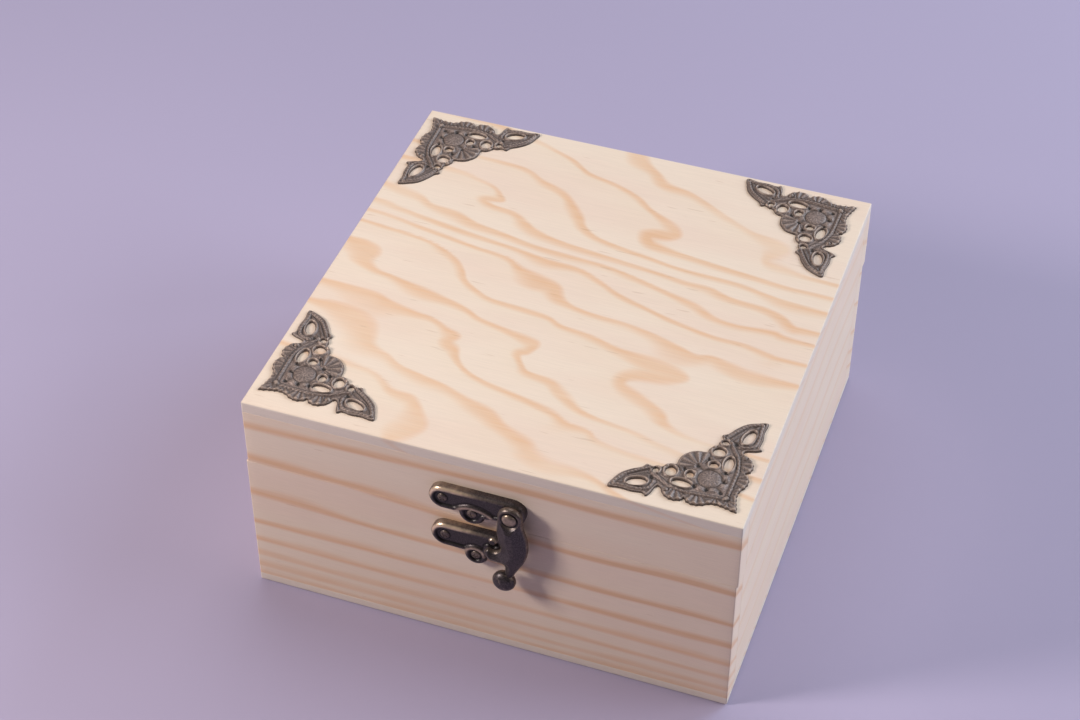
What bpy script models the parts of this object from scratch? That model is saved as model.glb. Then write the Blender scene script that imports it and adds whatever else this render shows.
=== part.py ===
"""Wooden storage box: a softwood base and a lid of butt-jointed boards, four pierced corner
ornaments, two butt hinges on the back and a swing-hook latch on the front.

Metres, +Z up. The origin is the middle of the underside, the front faces -Y, +X is to the right.
"""
import math

import bpy
from mathutils import Matrix, Vector
from mathutils.geometry import delaunay_2d_cdt

# Box
BOX_WIDTH = 0.160
BOX_DEPTH = 0.160
BOX_HEIGHT = 0.0805
LID_HEIGHT = 0.0255
WALL = 0.008
BOTTOM_THICKNESS = 0.003
TOP_THICKNESS = 0.004
EDGE_EASE = 0.0004
LID_SHIFT = 0.0005
JOINT_GAP = 0.0003
OVERRUN = 0.002

# Corner ornaments
ORNAMENT_LEG = 0.0388
ORNAMENT_THICKNESS = 0.0010

# Screws
SCREW_LENGTH = 0.006
SCREW_RADIUS = 0.0008
SCREW_HEAD_RADIUS = 0.0016
SCREW_HEAD_HEIGHT = 0.0005
SCREW_POINT_SHARE = 0.2
DOME_EDGE_SHARES = (0.8, 0.7)

# Latch
PLATE_LENGTH = 0.0313
PLATE_THICKNESS = 0.0026
PLATE_SHOULDER = 0.0009
PLATE_SHOULDER_RISE = 0.0014
PLATE_SEAM_MARGIN = 0.0006
LOWER_PLATE_DROP = 0.0026
PIVOT_OFFSET = 0.0098
BOSS_RADIUS = 0.0028
BOSS_RISE = 0.0005
CATCH_RADIUS = 0.0012
HOOK_LENGTH = 0.030
HOOK_THICKNESS = 0.0020
HOOK_SHOULDER = 0.0007
HOOK_SHOULDER_RISE = 0.0010
HOOK_HEAD_RADIUS = 0.0040
HOOK_BALL_RADIUS = 0.0037
HOOK_BALL_HALF_HEIGHT = 0.0027
RIVET_RADIUS = 0.0014
RIVET_HEAD_RADIUS = 0.0026
RIVET_HEAD_HEIGHT = 0.0011

# Hinges
HINGE_INSET = 0.032
HINGE_LENGTH = 0.020
LEAF_HEIGHT = 0.0105
LEAF_THICKNESS = 0.0008
BARREL_RADIUS = 0.0016
PIN_RADIUS = 0.0006
PIN_HEAD_RADIUS = 0.0011
PIN_HEAD_LENGTH = 0.0006
LEAF_SCREW_SPACING = 0.012

# Facet counts
ROUND_SIDES = 12
HOLE_SIDES = 8
BARREL_STEPS = 14
BALL_ROWS = 6
LOBE_STEP_DEGREES = 20

# Places that follow from the sizes above
SEAM = BOX_HEIGHT - LID_HEIGHT
BASE_MIDDLE = -LID_SHIFT / 2
LID_MIDDLE = LID_SHIFT / 2
FRONT = -BOX_DEPTH / 2
BACK = BOX_DEPTH / 2
PLATE_FRONT = JOINT_GAP + PLATE_THICKNESS
HOOK_BACK = PLATE_FRONT + BOSS_RISE + JOINT_GAP
HOOK_FRONT = HOOK_BACK + HOOK_THICKNESS
HINGE_AXIS = Vector((0, BACK + JOINT_GAP + BARREL_RADIUS, SEAM))
UPPER_DEPTH_SHARE = 0.287
RIVET_PLACE = Vector((PIVOT_OFFSET, FRONT, SEAM + PLATE_SEAM_MARGIN + UPPER_DEPTH_SHARE * PLATE_LENGTH))
LOWER_PLATE_PLACE = Vector((PIVOT_OFFSET, FRONT, SEAM - LOWER_PLATE_DROP))
RIGHT = Vector((1, 0, 0))
UP = Vector((0, 0, 1))
OUT = Vector((0, -1, 0))
BACKWARD = Vector((0, 1, 0))

# Outlines of the latch plates: lobes as centre, radius, first and last angle, in shares of PLATE_LENGTH.
# The upper plate is measured from the rivet, the lower one from below the rivet at its own top edge.
UPPER_LOBE_SHARES = (
    (-0.013, -0.022, 0.144, -120, 90),
    (-0.725, -0.022, 0.144, 90, 270),
    (-0.623, -0.029, 0.137, 270, 300),
    (-0.422, -0.150, 0.137, 180, 345),
)
LOWER_LOBE_SHARES = (
    (-0.192, -0.102, 0.102, -125, 90),
    (-0.712, -0.150, 0.150, 90, 270),
    (-0.392, -0.335, 0.122, 165, 370),
)
UPPER_SCREW_SHARES = ((-0.725, -0.022), (-0.422, -0.150))
LOWER_SCREW_SHARES = ((-0.712, -0.150), (-0.392, -0.335))
CATCH_SHARE = (-0.205, -0.062)

# Swing hook, measured from the rivet in shares of HOOK_LENGTH: left side downwards, right side upwards
HOOK_LEFT_SHARES = (
    (-0.140, -0.137), (-0.147, -0.237), (-0.133, -0.337), (-0.113, -0.420), (-0.107, -0.487),
    (-0.140, -0.533), (-0.193, -0.547), (-0.247, -0.533), (-0.287, -0.577), (-0.273, -0.633),
    (-0.227, -0.680), (-0.143, -0.687), (-0.073, -0.700), (-0.060, -0.770), (-0.073, -0.847),
)
HOOK_RIGHT_SHARES = (
    (0.020, -0.880), (0.047, -0.803), (0.093, -0.713), (0.147, -0.603),
    (0.180, -0.487), (0.187, -0.370), (0.173, -0.253), (0.140, -0.137),
)
HOOK_BALL_SHARE = (-0.070, -0.937)
HOOK_TAIL_SHARE = 0.75

# Corner ornament in shares of ORNAMENT_LEG: half of the outline, from the corner to the tip of one
# leaf and back to the middle of the shell, and half of the holes as centre, half sizes and turn.
ORNAMENT_OUTLINE_SHARES = (
    (0.000, 0.000), (0.080, 0.016), (0.160, 0.031), (0.221, 0.023), (0.271, -0.005), (0.332, -0.018),
    (0.387, -0.003), (0.414, 0.025), (0.442, -0.004), (0.502, -0.015), (0.557, 0.006), (0.594, 0.047),
    (0.612, 0.085), (0.637, 0.096), (0.657, 0.069), (0.673, 0.010), (0.698, -0.030), (0.733, -0.006),
    (0.814, -0.013), (0.904, -0.005), (1.004, -0.010), (0.981, 0.081), (0.943, 0.155), (0.877, 0.215),
    (0.806, 0.260), (0.776, 0.302), (0.733, 0.288), (0.695, 0.307), (0.660, 0.308), (0.635, 0.340),
    (0.599, 0.363), (0.561, 0.369), (0.556, 0.415), (0.545, 0.462), (0.526, 0.494),
)
ORNAMENT_MIDDLE_SHARE = 0.510
ORNAMENT_HOLE_SHARES = (
    (0.472, 0.173, 0.075, 0.035, 2), (0.432, 0.281, 0.028, 0.033, 0), (0.582, 0.276, 0.042, 0.048, 0),
    (0.696, 0.254, 0.023, 0.027, 0), (0.803, 0.090, 0.078, 0.037, -18),
)
# Where each ornament lies: sides of the lid, insets from its edges as shares of ORNAMENT_LEG, degrees
ORNAMENT_PLACE_SHARES = (
    ("back_left", -1, 1, 0.063, 0.118, 3.9),
    ("back_right", 1, 1, 0.112, 0.117, -3.7),
    ("front_left", -1, -1, 0.073, 0.178, -0.9),
    ("front_right", 1, -1, 0.095, 0.137, 2.0),
)

# Finishes: colour, roughness, metallic
FINISHES = {
    "pine": ((0.80, 0.62, 0.44), 0.6, 0.0),
    "pine_edge": ((0.72, 0.60, 0.47), 0.7, 0.0),
    "gunmetal": ((0.10, 0.085, 0.085), 0.5, 0.8),
    "antique_bronze": ((0.13, 0.10, 0.07), 0.4, 0.9),
}


def clear_scene():
    for old in list(bpy.data.objects):
        bpy.data.objects.remove(old)


def finish(name):
    found = bpy.data.materials.get(name)
    if found:
        return found
    made = bpy.data.materials.new(name)
    made.use_nodes = True
    color, roughness, metallic = FINISHES[name]
    shader = made.node_tree.nodes["Principled BSDF"]
    shader.inputs["Base Color"].default_value = (*color, 1)
    shader.inputs["Roughness"].default_value = roughness
    shader.inputs["Metallic"].default_value = metallic
    return made


def pivot(name, place, parent=None):
    """Empty on a joint's axis, which carries the pieces that turn with it."""
    empty = bpy.data.objects.new(name, None)
    bpy.context.scene.collection.objects.link(empty)
    empty.location = place
    if parent:
        empty.parent = parent
        empty.matrix_parent_inverse = Matrix.Translation(parent.location).inverted()
    return empty


def piece(name, vertices, faces, place, parent, finish_name):
    """One closed solid whose vertices are measured from its place."""
    mesh = bpy.data.meshes.new(name)
    mesh.from_pydata([tuple(v) for v in vertices], [], faces)
    mesh.validate()
    if finish_name:
        mesh.materials.append(finish(finish_name))
    made = bpy.data.objects.new(name, mesh)
    bpy.context.scene.collection.objects.link(made)
    made.location = place
    if parent:
        made.parent = parent
        made.matrix_parent_inverse = Matrix.Translation(parent.location).inverted()
    return made


def smooth(made):
    made.data.shade_smooth()
    made.data.set_sharp_from_angle(angle=math.radians(35))
    return made


# Shells: vertices and faces of closed shapes

def box_shell(low, high):
    corners = [Vector((x, y, z)) for z in (low[2], high[2]) for y in (low[1], high[1])
               for x in (low[0], high[0])]
    faces = [(0, 2, 3, 1), (4, 5, 7, 6), (0, 1, 5, 4), (2, 6, 7, 3), (0, 4, 6, 2), (1, 3, 7, 5)]
    return corners, faces


def turned_shell(profile, start, direction, sides):
    """Turned solid: profile gives radius and height from one pole to the other, along direction."""
    axis = Vector(direction).normalized()
    side = axis.orthogonal().normalized()
    other = axis.cross(side)
    vertices, rings = [], []
    for radius, height in profile:
        middle = Vector(start) + axis * height
        if radius == 0:
            rings.append([len(vertices)])
            vertices.append(middle)
            continue
        rings.append(list(range(len(vertices), len(vertices) + sides)))
        for i in range(sides):
            angle = math.tau * i / sides
            vertices.append(middle + radius * (math.cos(angle) * side + math.sin(angle) * other))
    faces = []
    for low, high in zip(rings, rings[1:]):
        for i in range(sides):
            j = (i + 1) % sides
            if len(low) == 1:
                faces.append((low[0], high[j], high[i]))
            elif len(high) == 1:
                faces.append((low[i], low[j], high[0]))
            else:
                faces.append((low[i], low[j], high[j], high[i]))
    if len(rings[0]) > 1:
        faces.append(tuple(reversed(rings[0])))
    if len(rings[-1]) > 1:
        faces.append(tuple(rings[-1]))
    return vertices, faces


def joined(shells):
    vertices, faces = [], []
    for more_vertices, more_faces in shells:
        start = len(vertices)
        vertices += more_vertices
        faces += [tuple(i + start for i in face) for face in more_faces]
    return vertices, faces


def is_inside(point, loop):
    found = False
    for (ax, ay), (bx, by) in zip(loop, loop[1:] + loop[:1]):
        if (ay > point[1]) != (by > point[1]) and point[0] < ax + (bx - ax) * (point[1] - ay) / (by - ay):
            found = not found
    return found


def cap_faces(loops):
    """Triangles that fill the first loop and leave the others open."""
    reach = max(abs(c) for loop in loops for point in loop for c in point)
    points = [Vector(point) / reach for loop in loops for point in loop]
    edges, start = [], 0
    for loop in loops:
        edges += [(start + i, start + (i + 1) % len(loop)) for i in range(len(loop))]
        start += len(loop)
    spots, _, triangles, origins, _, _ = delaunay_2d_cdt(points, edges, [], 0, 1e-7)
    unit_loops = [[(point[0] / reach, point[1] / reach) for point in loop] for loop in loops]
    kept = []
    for triangle in triangles:
        middle = sum((spots[i] for i in triangle), Vector((0, 0))) / len(triangle)
        if is_inside(middle, unit_loops[0]) and not any(is_inside(middle, hole) for hole in unit_loops[1:]):
            kept.append(tuple(origins[i][0] for i in triangle))
    return kept


def inset(loop, distance):
    """The loop moved to its left, which is into the material: round an outline, away from a hole."""
    moved = []
    for before, point, after in zip(loop[-1:] + loop[:-1], loop, loop[1:] + loop[:1]):
        arriving = (Vector(point) - Vector(before)).normalized()
        leaving = (Vector(after) - Vector(point)).normalized()
        turn = max(1 + arriving.dot(leaving), 0.5)
        normals = Vector((-arriving.y - leaving.y, arriving.x + leaving.x))
        spot = Vector(point) + normals * distance / turn
        moved.append((spot.x, spot.y))
    return moved


def plate_shell(loops, levels, right, up, out):
    """Plate that stands on its outline: levels give how far its edge is drawn in at each height."""
    count = sum(len(loop) for loop in loops)
    flat = [[inset(loop, drawn_in) for loop in loops] for drawn_in, _ in levels]
    vertices = [Vector(right) * a + Vector(up) * b + Vector(out) * height
                for rings, (_, height) in zip(flat, levels) for ring in rings for a, b in ring]
    faces = [tuple(reversed(face)) for face in cap_faces(flat[0])]
    top = count * (len(levels) - 1)
    faces += [tuple(i + top for i in face) for face in cap_faces(flat[-1])]
    start = 0
    for loop in loops:
        for i in range(len(loop)):
            j = (i + 1) % len(loop)
            for level in range(len(levels) - 1):
                low, high = count * level + start, count * (level + 1) + start
                faces.append((low + i, low + j, high + j, high + i))
        start += len(loop)
    if Vector(right).cross(Vector(up)).dot(Vector(out)) < 0:
        faces = [tuple(reversed(face)) for face in faces]
    return vertices, faces


def add_modifier(made, shells, operation):
    """Cuts the shells out of a piece, or joins them to it, with a guide object that isn't built."""
    vertices, faces = joined(shells)
    guide = piece(made.name + "_" + operation.lower(), vertices, faces, made.location, made.parent, None)
    guide.hide_render = True
    guide.display_type = "WIRE"
    modifier = made.modifiers.new(operation.title(), "BOOLEAN")
    modifier.operation = operation
    modifier.object = guide
    return made


def arc(x, y, radius, first, last, step=LOBE_STEP_DEGREES):
    """Points on an arc, both ends included; it runs clockwise where the last angle is the smaller."""
    count = max(2, math.ceil(abs(last - first) / step))
    angles = [math.radians(first + (last - first) * i / count) for i in range(count + 1)]
    return [(x + radius * math.cos(a), y + radius * math.sin(a)) for a in angles]


def round_hole(x, y, radius, sides=ROUND_SIDES):
    return arc(x, y, radius, 360, 0, 360 / sides)[:-1]


def scaled(shares, size):
    return [(x * size, y * size) for x, y in shares]


# Boards

def screw_cut(place, outwards, seat):
    """Hole for one screw, from outside the board's face to just past the screw's point."""
    radius = SCREW_RADIUS + JOINT_GAP
    profile = [(radius, -SCREW_LENGTH - JOINT_GAP), (radius, OVERRUN)]
    return turned_shell(profile, (place[0], seat, place[1]), outwards, HOLE_SIDES)


def board(name, low, high, parent, finish_name="pine", cuts=()):
    middle = (Vector(low) + Vector(high)) / 2
    vertices, faces = box_shell(Vector(low) - middle, Vector(high) - middle)
    made = piece(name, vertices, faces, middle, parent, finish_name)
    ease = made.modifiers.new("Eased edges", "BEVEL")
    ease.width = EDGE_EASE
    ease.segments = 1
    if cuts:
        cutters = [([v - middle for v in shell], shell_faces) for shell, shell_faces in cuts]
        add_modifier(made, cutters, "DIFFERENCE")
    return made


def frame_of_boards(prefix, ending, middle, low_z, high_z, parent, front_cuts, back_cuts):
    """Front and back boards that run the full width, and the two side boards between them."""
    left, right = middle - BOX_WIDTH / 2, middle + BOX_WIDTH / 2
    board(f"{prefix}_front_{ending}", (left, FRONT, low_z), (right, FRONT + WALL, high_z), parent,
          cuts=front_cuts)
    board(f"{prefix}_back_{ending}", (left, BACK - WALL, low_z), (right, BACK, high_z), parent,
          cuts=back_cuts)
    inner = BOX_DEPTH / 2 - WALL - JOINT_GAP
    board(f"{prefix}_left_{ending}", (left, -inner, low_z), (left + WALL, inner, high_z), parent)
    board(f"{prefix}_right_{ending}", (right - WALL, -inner, low_z), (right, inner, high_z), parent)


def make_base(front_cuts, back_cuts):
    left, right = BASE_MIDDLE - BOX_WIDTH / 2, BASE_MIDDLE + BOX_WIDTH / 2
    board("base_bottom_board", (left, FRONT, 0), (right, BACK, BOTTOM_THICKNESS), None, "pine_edge")
    frame_of_boards("base", "wall", BASE_MIDDLE, BOTTOM_THICKNESS + JOINT_GAP, SEAM - JOINT_GAP / 2,
                    None, front_cuts, back_cuts)


def make_lid(parent, front_cuts, back_cuts):
    left, right = LID_MIDDLE - BOX_WIDTH / 2, LID_MIDDLE + BOX_WIDTH / 2
    rail_top = BOX_HEIGHT - TOP_THICKNESS - JOINT_GAP
    frame_of_boards("lid", "rail", LID_MIDDLE, SEAM + JOINT_GAP / 2, rail_top, parent, front_cuts,
                    back_cuts)
    board("lid_top_board", (left, FRONT, BOX_HEIGHT - TOP_THICKNESS), (right, BACK, BOX_HEIGHT), parent)


# Corner ornaments

def mirrored(points):
    return [(y, x) for x, y in reversed(points)]


def ornament_loops():
    half = scaled(ORNAMENT_OUTLINE_SHARES, ORNAMENT_LEG)
    middle = ORNAMENT_MIDDLE_SHARE * ORNAMENT_LEG
    loops = [half + [(middle, middle)] + mirrored(half[1:])]
    for x, y, long_half, short_half, degrees in ORNAMENT_HOLE_SHARES:
        turn = Matrix.Rotation(math.radians(degrees), 2)
        hole = []
        for a, b in round_hole(0, 0, ORNAMENT_LEG, HOLE_SIDES):
            spot = turn @ Vector((a * long_half, b * short_half))
            hole.append((spot.x + x * ORNAMENT_LEG, spot.y + y * ORNAMENT_LEG))
        loops += [hole, mirrored(hole)]
    return loops


def make_ornaments(parent):
    loops = ornament_loops()
    for ending, x_side, y_side, x_inset, y_inset, degrees in ORNAMENT_PLACE_SHARES:
        turn = Matrix.Rotation(math.radians(degrees), 3, "Z")
        right = turn @ Vector((-x_side, 0, 0))
        up = turn @ Vector((0, -y_side, 0))
        place = Vector((LID_MIDDLE + x_side * (BOX_WIDTH / 2 - x_inset * ORNAMENT_LEG),
                        y_side * (BOX_DEPTH / 2 - y_inset * ORNAMENT_LEG), BOX_HEIGHT + JOINT_GAP))
        vertices, faces = plate_shell(loops, [(0, 0), (0, ORNAMENT_THICKNESS)], right, up, (0, 0, 1))
        piece(f"corner_ornament_{ending}", vertices, faces, place, parent, "gunmetal")


# Screws

def dome(radius, height, seat):
    """Profile of a domed head from its rim to its crown."""
    wide, high = DOME_EDGE_SHARES
    return [(radius, seat), (radius * wide, seat + height * high), (0, seat + height)]


def make_screw(name, place, outwards, parent):
    """Dome-headed screw whose place is the middle of the underside of its head."""
    shank_end = SCREW_LENGTH * (SCREW_POINT_SHARE - 1)
    profile = [(0, -SCREW_LENGTH), (SCREW_RADIUS, shank_end), (SCREW_RADIUS, 0)]
    profile += dome(SCREW_HEAD_RADIUS, SCREW_HEAD_HEIGHT, 0)
    vertices, faces = turned_shell(profile, (0, 0, 0), outwards, ROUND_SIDES)
    return smooth(piece(name, vertices, faces, place, parent, "antique_bronze"))


# Latch

def screw_places(corner, shares):
    return [(corner.x + x, corner.z + z) for x, z in scaled(shares, PLATE_LENGTH)]


def screw_holes(shares):
    return [(x, z, SCREW_RADIUS + JOINT_GAP) for x, z in scaled(shares, PLATE_LENGTH)]


def lobed_loop(lobes):
    loop = []
    for x, y, radius, first, last in lobes:
        loop += arc(x * PLATE_LENGTH, y * PLATE_LENGTH, radius * PLATE_LENGTH, first, last)
    return loop


def latch_plate(name, corner, lobes, holes, raised, parent):
    """Plate with sloped shoulders; raised is the middle and radius of the round boss on its face."""
    shoulder = PLATE_FRONT - PLATE_SHOULDER_RISE
    levels = [(0, JOINT_GAP), (0, shoulder), (PLATE_SHOULDER, PLATE_FRONT)]
    outer = plate_shell([lobed_loop(lobes)], levels, RIGHT, UP, OUT)
    made = piece(name, *outer, corner, parent, "antique_bronze")
    (x, z), radius = raised
    boss = [(radius, shoulder), (radius, PLATE_FRONT + BOSS_RISE)]
    add_modifier(made, [turned_shell(boss, RIGHT * x + UP * z, OUT, ROUND_SIDES)], "UNION")
    cuts = []
    for x, z, radius in holes:
        hole = [(radius, -OVERRUN), (radius, PLATE_FRONT + OVERRUN)]
        cuts.append(turned_shell(hole, RIGHT * x + UP * z, OUT, ROUND_SIDES))
    return add_modifier(made, cuts, "DIFFERENCE")


def hook_loop():
    ball_x, ball_y = scaled([HOOK_BALL_SHARE], HOOK_LENGTH)[0]
    head = arc(0, 0, HOOK_HEAD_RADIUS, -20, 190)
    tail = arc(ball_x, ball_y, HOOK_BALL_RADIUS * HOOK_TAIL_SHARE, 110, 380, 30)
    return head + scaled(HOOK_LEFT_SHARES, HOOK_LENGTH) + tail + scaled(HOOK_RIGHT_SHARES, HOOK_LENGTH)


def make_hook(parent):
    levels = [(0, 0), (0, HOOK_THICKNESS - HOOK_SHOULDER_RISE), (HOOK_SHOULDER, HOOK_THICKNESS)]
    body = plate_shell([hook_loop()], levels, RIGHT, UP, OUT)
    made = piece("latch_hook", *body, RIVET_PLACE + OUT * HOOK_BACK, parent, "antique_bronze")
    ball_x, ball_y = scaled([HOOK_BALL_SHARE], HOOK_LENGTH)[0]
    middle = RIGHT * ball_x + UP * ball_y + OUT * (HOOK_THICKNESS / 2)
    turns = [math.pi * i / BALL_ROWS for i in range(1, BALL_ROWS)]
    profile = [(HOOK_BALL_RADIUS * math.sin(a), -HOOK_BALL_HALF_HEIGHT * math.cos(a)) for a in turns]
    profile = [(0, -HOOK_BALL_HALF_HEIGHT)] + profile + [(0, HOOK_BALL_HALF_HEIGHT)]
    add_modifier(made, [turned_shell(profile, middle, OUT, ROUND_SIDES)], "UNION")
    radius = RIVET_RADIUS + JOINT_GAP
    hole = [(radius, -OVERRUN), (radius, HOOK_THICKNESS + OVERRUN)]
    return add_modifier(made, [turned_shell(hole, (0, 0, 0), OUT, ROUND_SIDES)], "DIFFERENCE")


def make_rivet(parent):
    seat = HOOK_FRONT + JOINT_GAP
    profile = [(RIVET_RADIUS, JOINT_GAP), (RIVET_RADIUS, seat)]
    profile += dome(RIVET_HEAD_RADIUS, RIVET_HEAD_HEIGHT, seat)
    vertices, faces = turned_shell(profile, (0, 0, 0), OUT, ROUND_SIDES)
    return smooth(piece("latch_rivet", vertices, faces, RIVET_PLACE, parent, "antique_bronze"))


def make_latch(lid, hook):
    rivet_hole = (0, 0, RIVET_RADIUS + JOINT_GAP)
    latch_plate("latch_upper_plate", RIVET_PLACE, UPPER_LOBE_SHARES,
                screw_holes(UPPER_SCREW_SHARES) + [rivet_hole], ((0, 0), BOSS_RADIUS), lid)
    catch = scaled([CATCH_SHARE], PLATE_LENGTH)[0]
    latch_plate("latch_lower_plate", LOWER_PLATE_PLACE, LOWER_LOBE_SHARES,
                screw_holes(LOWER_SCREW_SHARES), (catch, CATCH_RADIUS), None)
    seat = FRONT - PLATE_FRONT - JOINT_GAP
    for half, corner, shares, parent in (("upper", RIVET_PLACE, UPPER_SCREW_SHARES, lid),
                                         ("lower", LOWER_PLATE_PLACE, LOWER_SCREW_SHARES, None)):
        for side, (x, z) in zip(("left", "middle"), screw_places(corner, shares)):
            make_screw(f"latch_{half}_{side}_screw", (x, seat, z), OUT, parent)
    make_hook(hook)
    make_rivet(lid)


# Hinges

def leaf_loops(side):
    """Cross-section of a leaf with its barrel, in Y and Z about the pin; side is -1 for the base's leaf."""
    inner, outer = -BARREL_RADIUS, LEAF_THICKNESS - BARREL_RADIUS
    low = -LEAF_HEIGHT
    first = 180 + math.degrees(math.acos(1 - LEAF_THICKNESS / BARREL_RADIUS))
    around = arc(0, 0, BARREL_RADIUS, first, 540, (540 - first) / BARREL_STEPS)
    outline = [(inner, low), (outer, low)] + around
    hole = round_hole(0, 0, PIN_RADIUS + JOINT_GAP, HOLE_SIDES)
    if side > 0:
        outline = [(y, -z) for y, z in reversed(outline)]
    return [outline, hole]


def make_leaf(name, x_middle, side, parent):
    """Leaf whose barrel has the outer knuckles on the base and the middle one on the lid."""
    start = HINGE_AXIS + RIGHT * (x_middle - HINGE_LENGTH / 2)
    vertices, faces = plate_shell(leaf_loops(side), [(0, 0), (0, HINGE_LENGTH)], BACKWARD, UP, RIGHT)
    made = piece(name, vertices, faces, start, parent, "antique_bronze")
    knuckle = HINGE_LENGTH / 3
    if side < 0:
        gaps = [(knuckle - JOINT_GAP / 2, 2 * knuckle + JOINT_GAP / 2)]
    else:
        gaps = [(-OVERRUN, knuckle + JOINT_GAP / 2), (2 * knuckle - JOINT_GAP / 2, HINGE_LENGTH + OVERRUN)]
    reach = BARREL_RADIUS + JOINT_GAP
    far = BARREL_RADIUS + OVERRUN
    cuts = [box_shell((low, -far, -reach), (high, far, reach)) for low, high in gaps]
    radius = SCREW_RADIUS + JOINT_GAP
    hole = [(radius, -OVERRUN), (radius, LEAF_THICKNESS + OVERRUN)]
    for x, z in leaf_screws(x_middle, side):
        middle = Vector((x - start.x, -BARREL_RADIUS, z - SEAM))
        cuts.append(turned_shell(hole, middle, BACKWARD, HOLE_SIDES))
    return add_modifier(made, cuts, "DIFFERENCE")


def leaf_screws(x_middle, side):
    """Where a leaf's screws go, halfway between its edge and the barrel."""
    height = side * (LEAF_HEIGHT + BARREL_RADIUS + JOINT_GAP) / 2
    return [(x_middle + end * LEAF_SCREW_SPACING / 2, SEAM + height) for end in (-1, 1)]


def make_pin(name, x_middle):
    half = HINGE_LENGTH / 2 + JOINT_GAP
    profile = [(PIN_HEAD_RADIUS, -half - PIN_HEAD_LENGTH), (PIN_HEAD_RADIUS, -half), (PIN_RADIUS, -half),
               (PIN_RADIUS, half), (PIN_HEAD_RADIUS, half), (PIN_HEAD_RADIUS, half + PIN_HEAD_LENGTH)]
    vertices, faces = turned_shell(profile, (0, 0, 0), RIGHT, ROUND_SIDES)
    place = HINGE_AXIS + RIGHT * x_middle
    return smooth(piece(name, vertices, faces, place, None, "antique_bronze"))


def hinge_middles():
    offset = BOX_WIDTH / 2 - HINGE_INSET
    return (("left", -offset), ("right", offset))


def make_hinges(lid):
    seat = BACK + LEAF_THICKNESS + 2 * JOINT_GAP
    for hand, x_middle in hinge_middles():
        for half, side, parent in (("base", -1, None), ("lid", 1, lid)):
            make_leaf(f"hinge_{hand}_{half}_leaf", x_middle, side, parent)
            for number, (x, z) in enumerate(leaf_screws(x_middle, side), 1):
                make_screw(f"hinge_{hand}_{half}_screw_{number}", (x, seat, z), BACKWARD, parent)
        make_pin(f"hinge_{hand}_pin", x_middle)


def board_cuts():
    """Screw holes of each board that carries a plate or a leaf."""
    face = FRONT - PLATE_FRONT - JOINT_GAP
    cuts = {}
    for half, corner, shares in (("lid", RIVET_PLACE, UPPER_SCREW_SHARES),
                                 ("base", LOWER_PLATE_PLACE, LOWER_SCREW_SHARES)):
        cuts[half + "_front"] = [screw_cut(p, OUT, face) for p in screw_places(corner, shares)]
    face = BACK + LEAF_THICKNESS + 2 * JOINT_GAP
    for half, side in (("base", -1), ("lid", 1)):
        places = [p for _, x_middle in hinge_middles() for p in leaf_screws(x_middle, side)]
        cuts[half + "_back"] = [screw_cut(p, BACKWARD, face) for p in places]
    return cuts


def main():
    clear_scene()
    lid = pivot("lid_pivot", HINGE_AXIS)
    hook = pivot("hook_pivot", RIVET_PLACE, lid)
    cuts = board_cuts()
    make_base(cuts["base_front"], cuts["base_back"])
    make_lid(lid, cuts["lid_front"], cuts["lid_back"])
    make_ornaments(lid)
    make_latch(lid, hook)
    make_hinges(lid)


main()
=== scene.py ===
"""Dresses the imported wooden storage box: figured pine boards, cast corner ornaments, a swing-hook
latch, two butt hinges and their screws, on a plain pale floor under soft light.

Metres, +Z up. Tables marked (mm) hold millimetres and are scaled where they are used.
"""

import math

import bpy
import numpy as np
from mathutils import Matrix, Vector
from mathutils.geometry import delaunay_2d_cdt


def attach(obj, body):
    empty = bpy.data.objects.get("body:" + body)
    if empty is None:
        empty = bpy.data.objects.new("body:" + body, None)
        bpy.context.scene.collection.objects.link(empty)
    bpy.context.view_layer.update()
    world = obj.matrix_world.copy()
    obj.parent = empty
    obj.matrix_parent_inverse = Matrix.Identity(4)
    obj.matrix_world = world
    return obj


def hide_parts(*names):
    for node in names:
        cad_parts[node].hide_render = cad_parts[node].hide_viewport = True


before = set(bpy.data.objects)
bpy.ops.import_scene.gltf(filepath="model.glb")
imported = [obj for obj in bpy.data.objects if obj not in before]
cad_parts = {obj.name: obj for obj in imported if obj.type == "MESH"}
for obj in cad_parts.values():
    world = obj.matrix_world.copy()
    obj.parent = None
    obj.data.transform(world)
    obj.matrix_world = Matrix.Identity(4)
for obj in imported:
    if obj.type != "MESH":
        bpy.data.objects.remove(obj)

bl_info = {
    "name": "Wooden storage box",
    "version": (1, 0, 0),
    "blender": (4, 5, 0),
    "location": "3D View > Sidebar > Storage Box",
    "description": "Builds the boards, ornaments, latch and hinges of a small wooden storage box",
    "category": "Object",
}

MM = 0.001

# The box, as its frame has it
LID_MIDDLE = 0.00025
BASE_MIDDLE = -0.00025
HALF_WIDTH = 0.080
FRONT = -0.080
BACK = 0.080
WALL = 0.008
SEAM = 0.055
BOTTOM_THICKNESS = 0.003
TOP_UNDERSIDE = 0.0765
BOX_HEIGHT = 0.0805
JOINT_GAP = 0.00003
RIVET = Vector((0.0098, FRONT, 0.0645831))
LOWER_PLATE = Vector((0.0098, FRONT, 0.0524))
HINGE_AXIS = Vector((0, 0.0819, SEAM))
HINGE_MIDDLES = (("left", -0.048), ("right", 0.048))
RIGHT = Vector((1, 0, 0))
UP = Vector((0, 0, 1))
OUT = Vector((0, -1, 0))
BACKWARD = Vector((0, 1, 0))

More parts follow.
